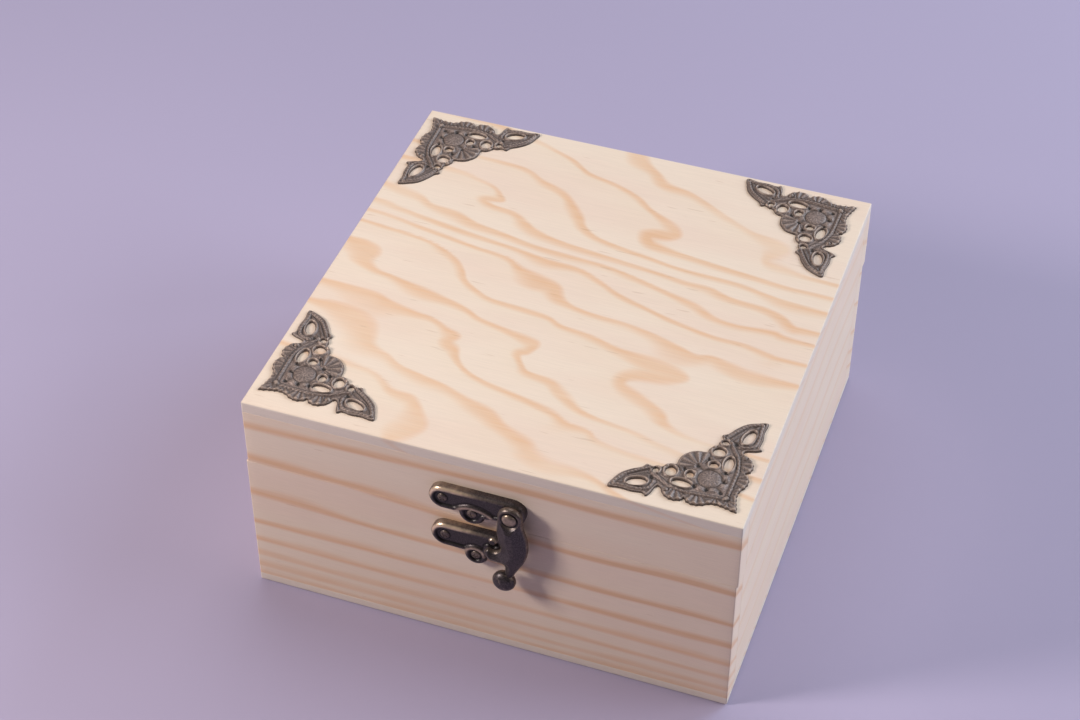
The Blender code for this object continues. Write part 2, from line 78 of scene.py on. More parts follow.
# Growth rings of the top board (mm from its middle, x to the right, y to the back), front to back
TOP_RINGS = (
    ((-120, -46), (-90, -50), (-55, -53), (-45, -55), (-38, -60), (-31, -61), (-27.6, -64), (-25, -68),
     (-23, -72), (-26, -77), (-30, -84), (-10, -96), (60, -112), (140, -120)),
    ((-120, -28), (-80, -29), (-72, -28.6), (-62, -30), (-56, -35), (-52, -43), (-45, -46), (-40, -49),
     (-32, -51), (-23, -53), (-15, -56), (-6, -59), (0, -63.6), (9, -68), (12, -71), (18, -74),
     (31, -75), (48, -82), (90, -96), (140, -104)),
    ((-120, -18), (-80, -18.6), (-70, -19), (-60, -19.7), (-54, -22), (-45, -24), (-38, -25), (-32, -28),
     (-27.8, -30), (-29, -33.6), (-26, -36), (-24, -40), (-20, -44), (-13, -47), (-4, -49), (5, -51),
     (12, -53), (18, -56), (25, -57), (29, -60), (39, -62), (60, -64), (80, -68), (140, -74)),
    ((-120, 6), (-80, 4), (-72, 2.6), (-68, 0), (-69, -5), (-65, -8.6), (-58, -10), (-50, -12), (-41, -14),
     (-34, -15.6), (-29, -17.4), (-24, -20), (-15, -22), (-6, -24), (-2.6, -25.4), (-4, -30),
     (-6.4, -32), (-4, -36), (-1, -38.6), (7, -40), (12, -44), (18, -48.6), (25, -51), (38, -53),
     (49, -56), (70, -59), (140, -64)),
    ((-120, 16), (-80, 14), (-70, 13), (-60, 12), (-51, 10), (-43, 6), (-38, 1), (-35, -4), (-30, -7.4),
     (-24, -10), (-13, -11), (-4, -12), (2, -14.7), (12, -16), (21, -18.6), (29, -20), (38, -21.5),
     (46, -25), (40, -28), (30, -30.5), (28.5, -34), (34, -37), (40, -40), (44, -43), (47, -47),
     (56, -50), (75, -51), (140, -53)),
    ((-120, 22), (-80, 20), (-70, 19), (-60, 17), (-49, 15), (-38, 13), (-26, 11.4), (-20, 7.6),
     (-13, 5.2), (-6, 3), (-2.4, -2.6), (7, -5.8), (21, -7), (31, -9), (40, -12), (46, -14), (51, -12.9),
     (58, -14.7), (64, -16.4), (79, -16.7), (140, -18)),
    ((-120, 28), (-80, 26), (-70, 24), (-60, 22), (-49, 20), (-38, 18.4), (-24, 16.4), (-13, 14.4),
     (-2, 13.7), (6, 10.3), (14, 6), (24, 2.6), (35, -0.8), (49, -3.6), (59, -4), (68, -6), (77, -6.7),
     (140, -8)),
    ((-120, 42), (-90, 37), (-74, 34), (-65, 32), (-60, 29), (-50, 27.6), (-42, 24.4), (-32, 22.6),
     (-20, 20), (-4, 18.7), (7, 17.8), (18, 15.3), (29, 12), (39, 9), (46, 5.3), (54, 4), (66, 4.8),
     (77, 3), (140, 1)),
    ((-120, 54), (-90, 52), (-59, 50), (-50, 47.6), (-43, 45), (-39, 41), (-38, 38.7), (-44, 37.6),
     (-40, 35.4), (-32, 34), (-26, 30), (-22, 27.6), (-13, 25), (2, 23), (18, 21), (32, 19), (41, 18.7),
     (49, 16), (60, 15), (67, 12.6), (72, 9), (79, 9), (140, 8)),
    ((-120, 66), (-90, 62), (-65, 60), (-43, 59), (-35, 57.6), (-29, 54), (-20, 50), (-14, 44),
     (-10, 39), (-7.6, 35), (-2, 31), (7, 28.7), (18, 26.7), (29, 24.8), (49, 23.7), (60, 21.4),
     (74, 19.8), (140, 16)),
    ((-120, 88), (-60, 80), (-39, 75), (-29, 71), (-22, 68), (-15, 63), (-4, 60), (5, 56), (11, 51),
     (18, 47), (22, 44), (23.5, 41), (21, 38.6), (15, 37.8), (16, 34.6), (21, 33), (35, 31), (51, 29),
     (65, 27.3), (79, 27), (140, 24)),
    ((-120, 122), (-40, 104), (-10, 88), (-2, 80), (2, 75), (7, 71), (12, 66), (21, 64), (29, 60),
     (36, 56), (46, 51), (56, 48.6), (60, 45), (55, 38.4), (62, 36), (78, 34), (140, 32)),
)
# Past this distance from a ring its neighbours don't matter (mm)
RING_REACH = 18.0
# Where a ring's dark wood is wider than usual (mm): x, y, reach, width
TOP_WIDE_SPOTS = (
    (-2, 77, 6, 10), (11, 67, 7, 6), (19, 41, 8, 8), (17, 36.5, 4, 8), (-12, 42, 10, 6),
    (-25, 32, 8, 5), (-72, 34, 8, 8), (-50, 27, 10, 5), (-13, 3, 9, 9), (-5, -1, 4, 9),
    (37, -25, 9, 14), (45, -44, 7, 6), (33, -34, 6, 6), (64, -18, 10, 8), (-72, -2, 7, 14),
    (-46, -13, 8, 6), (-6, -25, 6, 6), (14, -43, 8, 8), (-27, -33, 6, 6), (8, -68, 10, 9),
    (-5, -60, 10, 6), (-62, -37, 11, 21), (-28, -74, 9, 11), (58, 42, 8, 9), (68, 11, 8, 5),
    (40, 9, 8, 5), (-18, 51, 9, 5), (-33, -61, 9, 5), (18, -76, 9, 9),
)
# Where a ring is fainter or stronger than usual (mm): x, y, reach, strength
TOP_STRENGTH_SPOTS = (
    (-50, 49, 9, 0.4), (-60, 60, 12, 0.35), (-36, 74, 9, 0.45), (-30, 60, 8, 0.75), (62, 44, 12, 0.3),
    (-72, 34, 8, 0.4), (-72, 24, 12, 0.55), (-62, -36, 11, 0.6), (-50, -56, 12, 0.35),
    (-28, -74, 9, 0.55), (45, -56, 12, 0.4), (60, -50, 12, 0.2), (20, -75, 9, 0.4), (-12, 2, 9, 1.0),
    (-10, 42, 9, 0.95), (17, 37, 6, 1.0), (37, -25, 10, 0.75), (45, -44, 5, 0.9), (68, 11, 9, 0.95),
    (20, 14, 14, 0.9), (-47, -13, 8, 0.9), (-70, -4, 8, 0.75), (35, -62, 12, 0.4), (64, -18, 9, 0.7),
    (42, 58, 16, 0.4), (-2, 77, 6, 0.7), (12, -44, 6, 0.7),
)
# Growth rings of the front boards, base and lid alike, sawn from one plank (mm, height at each x)
FRONT_RING_PLACES = (-120, -80, -49, -40, -28, -4, 15, 35, 60, 80, 120)
FRONT_RINGS = (
    (86, 85.5, 85.4, 85.3, 85, 85.2, 85.2, 85, 85, 85, 85),
    (70, 70.4, 71.2, 71.5, 71.8, 72.4, 72.4, 71.6, 71.4, 71.8, 72),
    (57, 56.4, 55.7, 55.2, 54.0, 52.2, 51.4, 50.6, 51.5, 51.2, 51),
    (42, 41.0, 39.7, 39.2, 38.8, 38.4, 37.8, 37.2, 37.5, 37.4, 37),
    (28, 27.6, 27.8, 27.8, 27.7, 28.1, 28.1, 27.6, 27.2, 27.4, 27),
    (20, 19.4, 19.2, 19.1, 19.1, 19.3, 19.5, 19.4, 19.1, 18.9, 19),
    (13, 12.6, 12.2, 12.2, 12.3, 12.4, 12.6, 12.6, 12.4, 12.2, 12),
    (7, 7.2, 7.0, 7.0, 7.1, 7.2, 7.2, 7.1, 7.0, 7.0, 7),
    (3.4, 3.4, 3.3, 3.3, 3.4, 3.4, 3.4, 3.3, 3.2, 3.3, 3),
)
FRONT_WIDE_SPOTS = (
    (-66, -57, 16, 6.0), (-38, -56, 9, 5.0), (-80, -41, 18, 4.0), (10, -73, 20, 4.4), (-30, -72, 16, 4.4),
    (60, -72, 14, 4.0),
)
FRONT_STRENGTH_SPOTS = (
    (-45, -71, 10, 1.1), (0, -73, 12, 1.1), (-70, -57, 16, 0.95), (-60, -40, 20, 1.0), (45, -60, 38, 1.18),
    (60, -30, 34, 1.12), (0, -28, 22, 0.75), (-70, -5, 15, 0.5), (-45, -5, 15, 0.5), (-20, -5, 15, 0.5),
    (5, -5, 15, 0.5), (30, -5, 15, 0.55), (55, -5, 15, 0.6), (75, -5, 15, 0.6),
)
# Where the rings run on the boards that nothing shows closely (mm across each board)
SIDE_RING_HEIGHTS = (-6, 5, 18, 31, 47, 59, 73, 88, 101)
BACK_RING_HEIGHTS = (-4, 4, 9, 15, 23, 34, 46, 55, 62, 71, 84, 97)
FLOOR_RING_PLACES = (-96, -83, -71, -62, -55, -49, -44, -38, -29, -16, 1, 17, 28, 37, 45, 54, 66, 81, 97)

# Outlines of the latch plates: lobes as centre, radius, first and last angle, in shares of the length
PLATE_LENGTH = 0.0313
UPPER_LOBES = (
    (-0.013, -0.022, 0.144, -120, 90),
    (-0.725, -0.022, 0.144, 90, 270),
    (-0.623, -0.029, 0.137, 270, 300),
    (-0.422, -0.150, 0.137, 180, 345),
)
LOWER_LOBES = (
    (-0.192, -0.102, 0.102, -125, 90),
    (-0.712, -0.150, 0.150, 90, 270),
    (-0.392, -0.335, 0.122, 165, 370),
)
UPPER_SCREWS = ((-0.725, -0.022), (-0.422, -0.150))
LOWER_SCREWS = ((-0.712, -0.150), (-0.392, -0.335))
CATCH = (-0.205, -0.062)
# Rolled arch over the middle lobe of each plate (mm from the plate's origin)
UPPER_ARCH = ((-18.4, -4.6), (-16.7, -3.1), (-14.6, -2.2), (-12.2, -2.1), (-9.6, -2.7), (-7.2, -3.9),
              (-6.0, -5.2))
LOWER_ARCH = ((-15.8, -10.2), (-15.2, -8.7), (-13.6, -7.5), (-11.6, -7.4), (-10.0, -8.4), (-9.3, -10.0))

# Swing hook, from the rivet, in shares of its length: left side downwards, right side upwards
HOOK_LENGTH = 0.030
HOOK_LEFT = (
    (-0.140, -0.137), (-0.147, -0.237), (-0.133, -0.337), (-0.113, -0.420), (-0.107, -0.487),
    (-0.140, -0.533), (-0.193, -0.547), (-0.247, -0.533), (-0.287, -0.577), (-0.273, -0.633),
    (-0.227, -0.680), (-0.143, -0.687), (-0.073, -0.700), (-0.060, -0.770), (-0.073, -0.847),
)
HOOK_RIGHT = (
    (0.020, -0.880), (0.047, -0.803), (0.093, -0.713), (0.147, -0.603),
    (0.180, -0.487), (0.187, -0.370), (0.173, -0.253), (0.140, -0.137),
)
HOOK_BALL = (-0.070, -0.937)
HOOK_HEAD_RADIUS = 4.0
HOOK_TAIL_RADIUS = 2.8
HOOK_BACK = 3.7
HOOK_EDGE = 4.5
HOOK_RING = 5.1
BALL_HALF_WIDTH = 3.8
BALL_HALF_DEPTH = 2.65
RIVET_HEAD = 2.3
RIVET_HOLE = 1.45
# Latch plates: height of the upright sides, of the rolled rim over them, and the depth of the fields (mm)
PLATE_SIDE = 1.6
PLATE_RIM = 1.3
PLATE_FIELD = 0.7
POST_HEIGHT = 3.4

# Hinge leaves, knuckles, pins and screws (mm)
LEAF_HALF = 10.0
LEAF_FAR = 10.5
LEAF_NEAR = 0.9
LEAF_CORNER = 1.6
KNUCKLE_RADIUS = 1.6
KNUCKLE_EDGE = 0.18
KNUCKLE_GAP = 0.08
HINGE_SCREW_X = (-6, 6)
HINGE_SCREW_Z = 6.2
PIN_END = ((0.55, 10.0), (1.0, 10.02), (1.1, 10.2), (1.05, 10.5), (0.7, 10.8), (0, 10.9))

# Corner ornament in shares of its leg: half of the outline, from the corner round one leaf to the
# middle of the shell, and half of the holes as centre, half sizes and turn
ORNAMENT_LEG = 0.0388
ORNAMENT_OUTLINE = (
    (0.000, 0.000), (0.080, 0.016), (0.160, 0.031), (0.221, 0.023), (0.271, -0.005), (0.332, -0.018),
    (0.387, -0.003), (0.414, 0.025), (0.442, -0.004), (0.502, -0.015), (0.557, 0.006), (0.594, 0.047),
    (0.612, 0.085), (0.637, 0.096), (0.657, 0.069), (0.673, 0.010), (0.698, -0.030), (0.733, -0.006),
    (0.814, -0.013), (0.904, -0.005), (1.004, -0.010), (0.981, 0.081), (0.943, 0.155), (0.877, 0.215),
    (0.806, 0.260), (0.776, 0.302), (0.733, 0.288), (0.695, 0.307), (0.660, 0.308), (0.635, 0.340),
    (0.599, 0.363), (0.561, 0.369), (0.556, 0.415), (0.545, 0.462), (0.526, 0.494),
)
ORNAMENT_MIDDLE = 0.510
ORNAMENT_HOLES = (
    (0.472, 0.173, 0.075, 0.035, 2), (0.432, 0.281, 0.028, 0.033, 0), (0.582, 0.276, 0.042, 0.048, 0),
    (0.696, 0.254, 0.023, 0.027, 0), (0.803, 0.090, 0.078, 0.037, -18),
)
ORNAMENT_PLACES = (
    ("back_left", -1, 1, 0.063, 0.118, 3.9),
    ("back_right", 1, 1, 0.112, 0.117, -3.7),
    ("front_left", -1, -1, 0.073, 0.178, -0.9),
    ("front_right", 1, -1, 0.095, 0.137, 2.0),
)
# Raised strands of half an ornament (mm from its corner along and across the leg): half width, height
# and the line that each follows
ORNAMENT_STRANDS = (
    (0.52, 0.80, ((26.3, 5.2), (26.9, 2.4), (28.4, 1.0), (31.6, 0.6), (35.0, 0.8), (37.6, 0.8), (36.9, 2.9),
                  (35.5, 5.3), (33.0, 7.4), (30.4, 9.2), (28.8, 10.2))),
    (0.50, 0.78, ((27.6, 8.0), (26.3, 7.5), (24.6, 6.5), (22.2, 5.0), (19, 3.9), (15.5, 3.5), (12, 3.6),
                  (8, 3.8), (4.4, 4.0))),
)
# Pits round the boss, sunk and painted dark with shade, and raised beads (mm, likewise)
ORNAMENT_PITS = ((6.3, 6.3), (10.6, 6.3), (14.4, 6.6), (15.3, 15.3), (18.7, 12.7), (27.4, 6.6))
ORNAMENT_BEADS = ((24.6, 12.9), (28.2, 11.2), (4.4, 4.0), (22.2, 2.8))
BOSS = 10.8
BOSS_RADIUS = 3.5


class BoxSettings(bpy.types.PropertyGroup):
    early_wood: bpy.props.FloatVectorProperty(
        name="Pale wood", description="Colour of the pale wood between the rings",
        subtype="COLOR", size=3, min=0, max=1, default=(0.84, 0.685, 0.55))
    late_wood: bpy.props.FloatVectorProperty(
        name="Ring wood", description="Colour of the dark wood of each ring",
        subtype="COLOR", size=3, min=0, max=1, default=(0.77, 0.42, 0.21))
    grey_wood: bpy.props.FloatVectorProperty(
        name="Greyer wood", description="Colour of the bottom board and of the top board's edges",
        subtype="COLOR", size=3, min=0, max=1, default=(0.76, 0.675, 0.60))
    gunmetal: bpy.props.FloatVectorProperty(
        name="Ornament metal", description="Colour of the dark casting of the corner ornaments",
        subtype="COLOR", size=3, min=0, max=1, default=(0.245, 0.180, 0.155))
    gunmetal_rub: bpy.props.FloatVectorProperty(
        name="Ornament rubbed edge", description="Colour of the ornaments where their rims are rubbed",
        subtype="COLOR", size=3, min=0, max=1, default=(0.40, 0.295, 0.235))
    bronze: bpy.props.FloatVectorProperty(
        name="Latch metal", description="Colour of the dark finish of the latch and the hinges",
        subtype="COLOR", size=3, min=0, max=1, default=(0.072, 0.057, 0.059))
    # Colour of worn latch rims, also used for the highlight painted along the plates' upper rims
    bronze_worn_and_lit: bpy.props.FloatVectorProperty(
        name="Latch rubbed edge", description="Colour of the latch where its rims are rubbed bright",
        subtype="COLOR", size=3, min=0, max=1, default=(0.78, 0.58, 0.41))
    corner_ease: bpy.props.FloatProperty(
        name="Outer edge", description="Radius of the box's sanded outer edges",
        subtype="DISTANCE", unit="LENGTH", min=0, max=0.002, default=0.00045)
    joint_ease: bpy.props.FloatProperty(
        name="Joint edge", description="Radius of each board's own edges along the joints",
        subtype="DISTANCE", unit="LENGTH", min=0, max=0.001, default=0.00012)
    relief: bpy.props.FloatProperty(
        name="Ornament relief", description="Height of the ornament's forms above their ground",
        subtype="DISTANCE", unit="LENGTH", min=0, max=0.001, default=0.0008)
    screw_head: bpy.props.FloatProperty(
        name="Screw head", description="Radius of the small screws' heads",
        subtype="DISTANCE", unit="LENGTH", min=0.0005, max=0.003, default=0.0016)
    floor_color: bpy.props.FloatVectorProperty(
        name="Floor", description="Colour of the plain floor",
        subtype="COLOR", size=3, min=0, max=1, default=(0.42, 0.365, 0.51))


# Node helpers

def fresh_material(name):
    made = bpy.data.materials.new(name)
    made.use_nodes = True
    tree = made.node_tree
    return made, tree, tree.nodes["Principled BSDF"]


def value_of(tree, socket, given):
    """Gives a socket a number, a colour, or a link from another socket."""
    if isinstance(given, bpy.types.NodeSocket):
        tree.links.new(given, socket)
    elif socket.type == "RGBA":
        socket.default_value = (*given, 1)
    else:
        socket.default_value = given


def calculate(tree, operation, *values, clamp=False):
    node = tree.nodes.new("ShaderNodeMath")
    node.operation = operation
    node.use_clamp = clamp
    for socket, given in zip(node.inputs, values):
        value_of(tree, socket, given)
    return node.outputs[0]


def ramp(tree, given, low, high, to_low=0.0, to_high=1.0):
    """Smooth step from to_low at low to to_high at high; low and high may be sockets."""
    node = tree.nodes.new("ShaderNodeMapRange")
    node.interpolation_type = "SMOOTHSTEP"
    for name, item in (("Value", given), ("From Min", low), ("From Max", high),
                       ("To Min", to_low), ("To Max", to_high)):
        value_of(tree, node.inputs[name], item)
    return node.outputs["Result"]


def mixed(tree, share, first, second, blend="MIX"):
    node = tree.nodes.new("ShaderNodeMix")
    node.data_type = "RGBA"
    node.blend_type = blend
    value_of(tree, node.inputs["Factor"], share)
    value_of(tree, node.inputs[6], first)
    value_of(tree, node.inputs[7], second)
    return node.outputs[2]


def painted(tree, name):
    node = tree.nodes.new("ShaderNodeAttribute")
    node.attribute_name = name
    return node.outputs["Fac"]


def object_place(tree, scale=(1, 1, 1), turn=(0, 0, 0)):
    place = tree.nodes.new("ShaderNodeTexCoord").outputs["Object"]
    mapping = tree.nodes.new("ShaderNodeMapping")
    mapping.inputs["Scale"].default_value = scale
    mapping.inputs["Rotation"].default_value = turn
    tree.links.new(place, mapping.inputs["Vector"])
    return mapping.outputs["Vector"]


def noise(tree, place, scale, detail=2.0, roughness=0.5):
    node = tree.nodes.new("ShaderNodeTexNoise")
    tree.links.new(place, node.inputs["Vector"])
    node.inputs["Scale"].default_value = scale
    node.inputs["Detail"].default_value = detail
    node.inputs["Roughness"].default_value = roughness
    return node.outputs["Fac"]


def bump(tree, shader, height, distance, strength=1.0, after=None):
    node = tree.nodes.new("ShaderNodeBump")
    node.inputs["Distance"].default_value = distance
    node.inputs["Strength"].default_value = strength
    value_of(tree, node.inputs["Height"], height)
    if after:
        tree.links.new(after, node.inputs["Normal"])
    tree.links.new(node.outputs["Normal"], shader.inputs["Normal"])
    return node.outputs["Normal"]


# Finishes

# How often the wood's forms repeat in a metre, and how far they are drawn out along the board
FIBRES = 2600
STREAKS = 620
WAVER = 260
SWELLINGS = 90
CLOUDS = 55
PORES = 900
FIBRE_STRETCH = 28
CLOUD_STRETCH = 5
PORE_STRETCH = 9
# How often the castings' blotches and specks repeat in a metre
BLOTCHES = 420
SPECKS = 2300


def pine(name, along_y, pale, dark, grey):
    """Sanded softwood whose rings come from the boards' own ring numbers, and its fibres from nodes."""
    made, tree, shader = fresh_material(name)

    def drawn_out(stretch):
        return object_place(tree, (1, 1 / stretch, 1) if along_y else (1 / stretch, 1, 1))

    fibres, slow = drawn_out(FIBRE_STRETCH), drawn_out(CLOUD_STRETCH)
    fine = noise(tree, fibres, FIBRES, 3, 0.6)
    streaks = noise(tree, fibres, STREAKS, 3, 0.6)
    clouds = noise(tree, slow, CLOUDS, 2, 0.5)
    waver = noise(tree, slow, WAVER, 2, 0.5)

    ring = painted(tree, "ring")
    gap = painted(tree, "ring_gap")
    width = painted(tree, "ring_width")
    strength = painted(tree, "ring_strength")
    share = calculate(tree, "FRACT", ring)
    under = calculate(tree, "MULTIPLY", calculate(tree, "SUBTRACT", 1.0, share), gap)
    shift = calculate(tree, "MULTIPLY_ADD", streaks, 0.9, -0.45)
    shift = calculate(tree, "ADD", shift, calculate(tree, "MULTIPLY_ADD", waver, 1.2, -0.6))
    over = calculate(tree, "MULTIPLY", share, gap)
    under = calculate(tree, "MULTIPLY_ADD", shift, ramp(tree, under, 0.0, 1.4), under)
    over = calculate(tree, "MULTIPLY_ADD", shift, ramp(tree, over, 0.0, 1.4, 0.0, 0.5), over)
    soft_start = calculate(tree, "MULTIPLY", width, 0.12)
    swell = ramp(tree, noise(tree, slow, SWELLINGS, 1, 0.5), 0.3, 0.7, 0.6, 1.35)
    late = ramp(tree, under, soft_start, calculate(tree, "MULTIPLY", width, swell), 1.0, 0.0)
    crisp = ramp(tree, over, -0.1, calculate(tree, "MULTIPLY", width, 0.38), 1.0, 0.0)
    line = calculate(tree, "MAXIMUM", late, crisp)
    line = calculate(tree, "MULTIPLY", line, strength)
    grain = ramp(tree, streaks, 0.25, 0.75, 0.78, 1.12)
    line = calculate(tree, "MULTIPLY", line, grain, clamp=True)

    rosy = tuple(c * k for c, k in zip(pale, (0.985, 0.945, 0.945)))
    honey = tuple(c * k for c, k in zip(pale, (0.985, 0.965, 0.90)))
    ground = mixed(tree, ramp(tree, clouds, 0.35, 0.65), rosy, pale)
    drift = calculate(tree, "POWER", share, 2.0)
    ground = mixed(tree, calculate(tree, "MULTIPLY", drift, 0.6), ground, honey)
    ground = mixed(tree, calculate(tree, "MULTIPLY", painted(tree, "greyer"), 0.7), ground, grey)
    color = mixed(tree, calculate(tree, "MULTIPLY", line, 0.67), ground, dark)
    browner = calculate(tree, "MULTIPLY", ramp(tree, strength, 0.85, 1.5), calculate(
        tree, "POWER", line, 3.0))
    color = mixed(tree, browner, color, (0.82, 0.82, 0.85), "MULTIPLY")
    shade = ramp(tree, fine, 0.3, 0.7, 0.955, 1.0)
    color = mixed(tree, 1.0, color, grey_of(tree, shade), "MULTIPLY")
    pores = noise(tree, drawn_out(PORE_STRETCH), PORES, 1, 0.4)
    flecks = ramp(tree, pores, 0.735, 0.80)
    color = mixed(tree, calculate(tree, "MULTIPLY", flecks, 0.22), color,
                  tuple(c * 0.55 for c in dark))
    tree.links.new(color, shader.inputs["Base Color"])
    tree.links.new(ramp(tree, line, 0, 1, 0.60, 0.50), shader.inputs["Roughness"])
    shader.inputs["Specular IOR Level"].default_value = 0.35
    normal = bump(tree, shader, fine, 0.00003, 0.6)
    bump(tree, shader, line, 0.00004, 0.5, normal)
    return made


def grey_of(tree, amount):
    node = tree.nodes.new("ShaderNodeCombineColor")
    for socket in node.inputs:
        tree.links.new(amount, socket)
    return node.outputs[0]


def cast_metal(name, dark, worn_and_lit_color, roughness, metallic, grain):
    """Dark antiqued casting: lighter where rims are worn and where a highlight is painted on the latch's
    upper rims, darker where patina and painted shade fill its hollows.
    """
    made, tree, shader = fresh_material(name)
    place = object_place(tree)
    blotch = noise(tree, place, BLOTCHES, 4, 0.6)
    specks = noise(tree, place, SPECKS, 3, 0.6)
    patchy = calculate(tree, "MULTIPLY_ADD", blotch, 1.6, 0.2)
    # Wear on the rims; on the latch plates this share also holds a highlight painted where light falls from
    # above.
    wear_and_highlight = ramp(tree, calculate(tree, "MULTIPLY", painted(tree, "wear_and_highlight"), patchy), 0.05, 0.95)
    # Patina and painted shade: grooves, pits and the feet of raised forms are darkened as if shade fell
    # there.
    deep_patina_and_shade = tuple(c * 0.13 for c in dark)
    patina_and_shade = painted(tree, "patina_and_shade")
    body = mixed(tree, ramp(tree, specks, 0.35, 0.65), tuple(c * 0.62 for c in dark),
                 tuple(c * 1.3 for c in dark))
    body = mixed(tree, patina_and_shade, body, deep_patina_and_shade)
    color = mixed(tree, wear_and_highlight, body, worn_and_lit_color)
    tree.links.new(color, shader.inputs["Base Color"])
    shader.inputs["Metallic"].default_value = metallic
    uneven = calculate(tree, "MULTIPLY_ADD", blotch, 0.16, roughness - 0.08)
    rough = calculate(tree, "ADD", uneven, calculate(tree, "MULTIPLY", wear_and_highlight, -0.08))
    tree.links.new(rough, shader.inputs["Roughness"])
    shader.inputs["Specular IOR Level"].default_value = 0.5
    bump(tree, shader, specks, grain, 0.7)
    return made


def finishes():
    """The finishes by name, made once from the settings."""
    wanted = bpy.context.scene.storage_box
    if "pine_along_x" not in bpy.data.materials:
        pale, dark = tuple(wanted.early_wood), tuple(wanted.late_wood)
        grey = tuple(wanted.grey_wood)
        pine("pine_along_x", False, pale, dark, grey)
        pine("pine_along_y", True, pale, dark, grey)
        cast_metal("ornament_metal", tuple(wanted.gunmetal), tuple(wanted.gunmetal_rub), 0.50, 0.25,
                   0.00005)
        cast_metal("latch_metal", tuple(wanted.bronze), tuple(wanted.bronze_worn_and_lit), 0.38, 0.6, 0.000004)
    return bpy.data.materials


# Mesh helpers

def new_piece(name, vertices, faces, material):
    mesh = bpy.data.meshes.new(name)
    mesh.from_pydata([tuple(v) for v in vertices], [], [tuple(f) for f in faces])
    mesh.materials.append(finishes()[material])
    mesh.update()
    made = bpy.data.objects.new(name, mesh)
    bpy.context.scene.collection.objects.link(made)
    mesh.shade_smooth()
    return made


def paint(made, name, amounts):
    layer = made.data.attributes.new(name, "FLOAT", "POINT")
    layer.data.foreach_set("value", np.asarray(amounts, np.float32))


def settle(made, body, nodes):
    """Fixes a finished piece to its body, in place of the plain solids that it dresses."""
    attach(made, body)
    if nodes:
        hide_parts(*nodes)
    return made


def curve_through(points, parts=6, closed=False):
    """Smooth line through the points, each stretch cut into parts."""
    given = np.asarray(points, float)
    if closed:
        ring = np.vstack([given[-1:], given, given[:2]])
    else:
        ring = np.vstack([2 * given[0] - given[1], given, 2 * given[-1] - given[-2]])
    found = []
    for a, b, c, d in zip(ring, ring[1:], ring[2:], ring[3:]):
        for t in np.arange(parts) / parts:
            found.append(0.5 * (2 * b + (c - a) * t + (2 * a - 5 * b + 4 * c - d) * t * t
                                + (3 * b - a - 3 * c + d) * t ** 3))
    if not closed:
        found.append(given[-1])
    return np.array(found)


def in_parts(points, line):
    return np.array_split(points, max(1, len(points) * len(line) // 1000000))


def distance_to(points, line):
    """Distance from each point to a line of points."""
    start, reach = line[:-1], line[1:] - line[:-1]
    length = np.maximum((reach ** 2).sum(1), 1e-12)
    nearest = []
    for part in in_parts(points, line):
        x = part[:, :1] - start[:, 0]
        y = part[:, 1:] - start[:, 1]
        t = np.clip((x * reach[:, 0] + y * reach[:, 1]) / length, 0, 1)
        x -= t * reach[:, 0]
        y -= t * reach[:, 1]
        nearest.append(np.sqrt((x * x + y * y).min(1)))
    return np.concatenate(nearest)


def lines_above(points, line):
    """How often the line passes above each point."""
    run = line[1:, 0] - line[:-1, 0]
    slope = (line[1:, 1] - line[:-1, 1]) / np.where(run == 0, 1e-12, run)
    crossings = []
    for part in in_parts(points, line):
        beyond = line[:, 0] > part[:, :1]
        above = line[:-1, 1] + (part[:, :1] - line[:-1, 0]) * slope > part[:, 1:]
        crossings.append(((beyond[:, 1:] != beyond[:, :-1]) & above).sum(1))
    return np.concatenate(crossings)


# Boards

def ring_numbers(points, rings):
    """Ring number with its share across the ring, and the ring's local width, at each point (mm)."""
    lines = [curve_through(ring) for ring in rings]
    low = np.array([(-300.0, lines[0][:, 1].min() - 14), (300.0, lines[0][:, 1].min() - 14)])
    high = np.array([(-300.0, lines[-1][:, 1].max() + 14), (300.0, lines[-1][:, 1].max() + 14)])
    lines = [low, *lines, high]
    passed = sum((lines_above(points, line) % 2 == 0).astype(int) for line in lines)
    passed = np.clip(passed, 1, len(lines) - 1)
    under, over = np.zeros(len(points)), np.zeros(len(points))
    for number, line in enumerate(lines):
        for side, beside in ((under, passed == number + 1), (over, passed == number)):
            if beside.any():
                side[beside] = np.minimum(distance_to(points[beside], line), RING_REACH)
    gap = np.maximum(under + over, 0.01)
    return passed + under / gap, gap


def spotted(points, usual, spots):
    """The usual amount, changed towards each spot's own inside its reach."""
    found = np.full(len(points), float(usual))
    for x, y, reach, amount in spots:
        share = np.exp(-((points[:, 0] - x) ** 2 + (points[:, 1] - y) ** 2) / (reach ** 2))
        found += (amount - found) * share
    return found


def wavy_rings(places, sway, seed):
    """Rings that run along a board, each at its own place and with a gentle sway (mm)."""
    stretch = np.arange(-120, 121, 12.0)
    rings = []
    for number, place in enumerate(places):
        phase = seed * 1.7 + number * 0.35
        offset = np.sin(stretch / 31 + phase) + 0.45 * np.sin(stretch / 12.5 + phase * 2.3)
        rings.append([(x, place + sway * y) for x, y in zip(stretch, offset)])
    return rings


def front_rings():
    """The front's rings, measured downwards, because their crisp side is the lower one."""
    return [[(x, -z) for x, z in zip(FRONT_RING_PLACES, ring)] for ring in FRONT_RINGS]


def grid_lines(low, high, step, fine):
    """Lines across a board: closer together beside its edges, for rounding them."""
    near = np.array([0, 0.1, 0.25, 0.45, 0.7, 1.0]) * fine
    count = max(1, round((high - low - 2 * fine) / step))
    middle = np.linspace(low + fine, high - fine, count + 1)[1:-1]
    return np.concatenate([low + near, middle, (high - near)[::-1]])


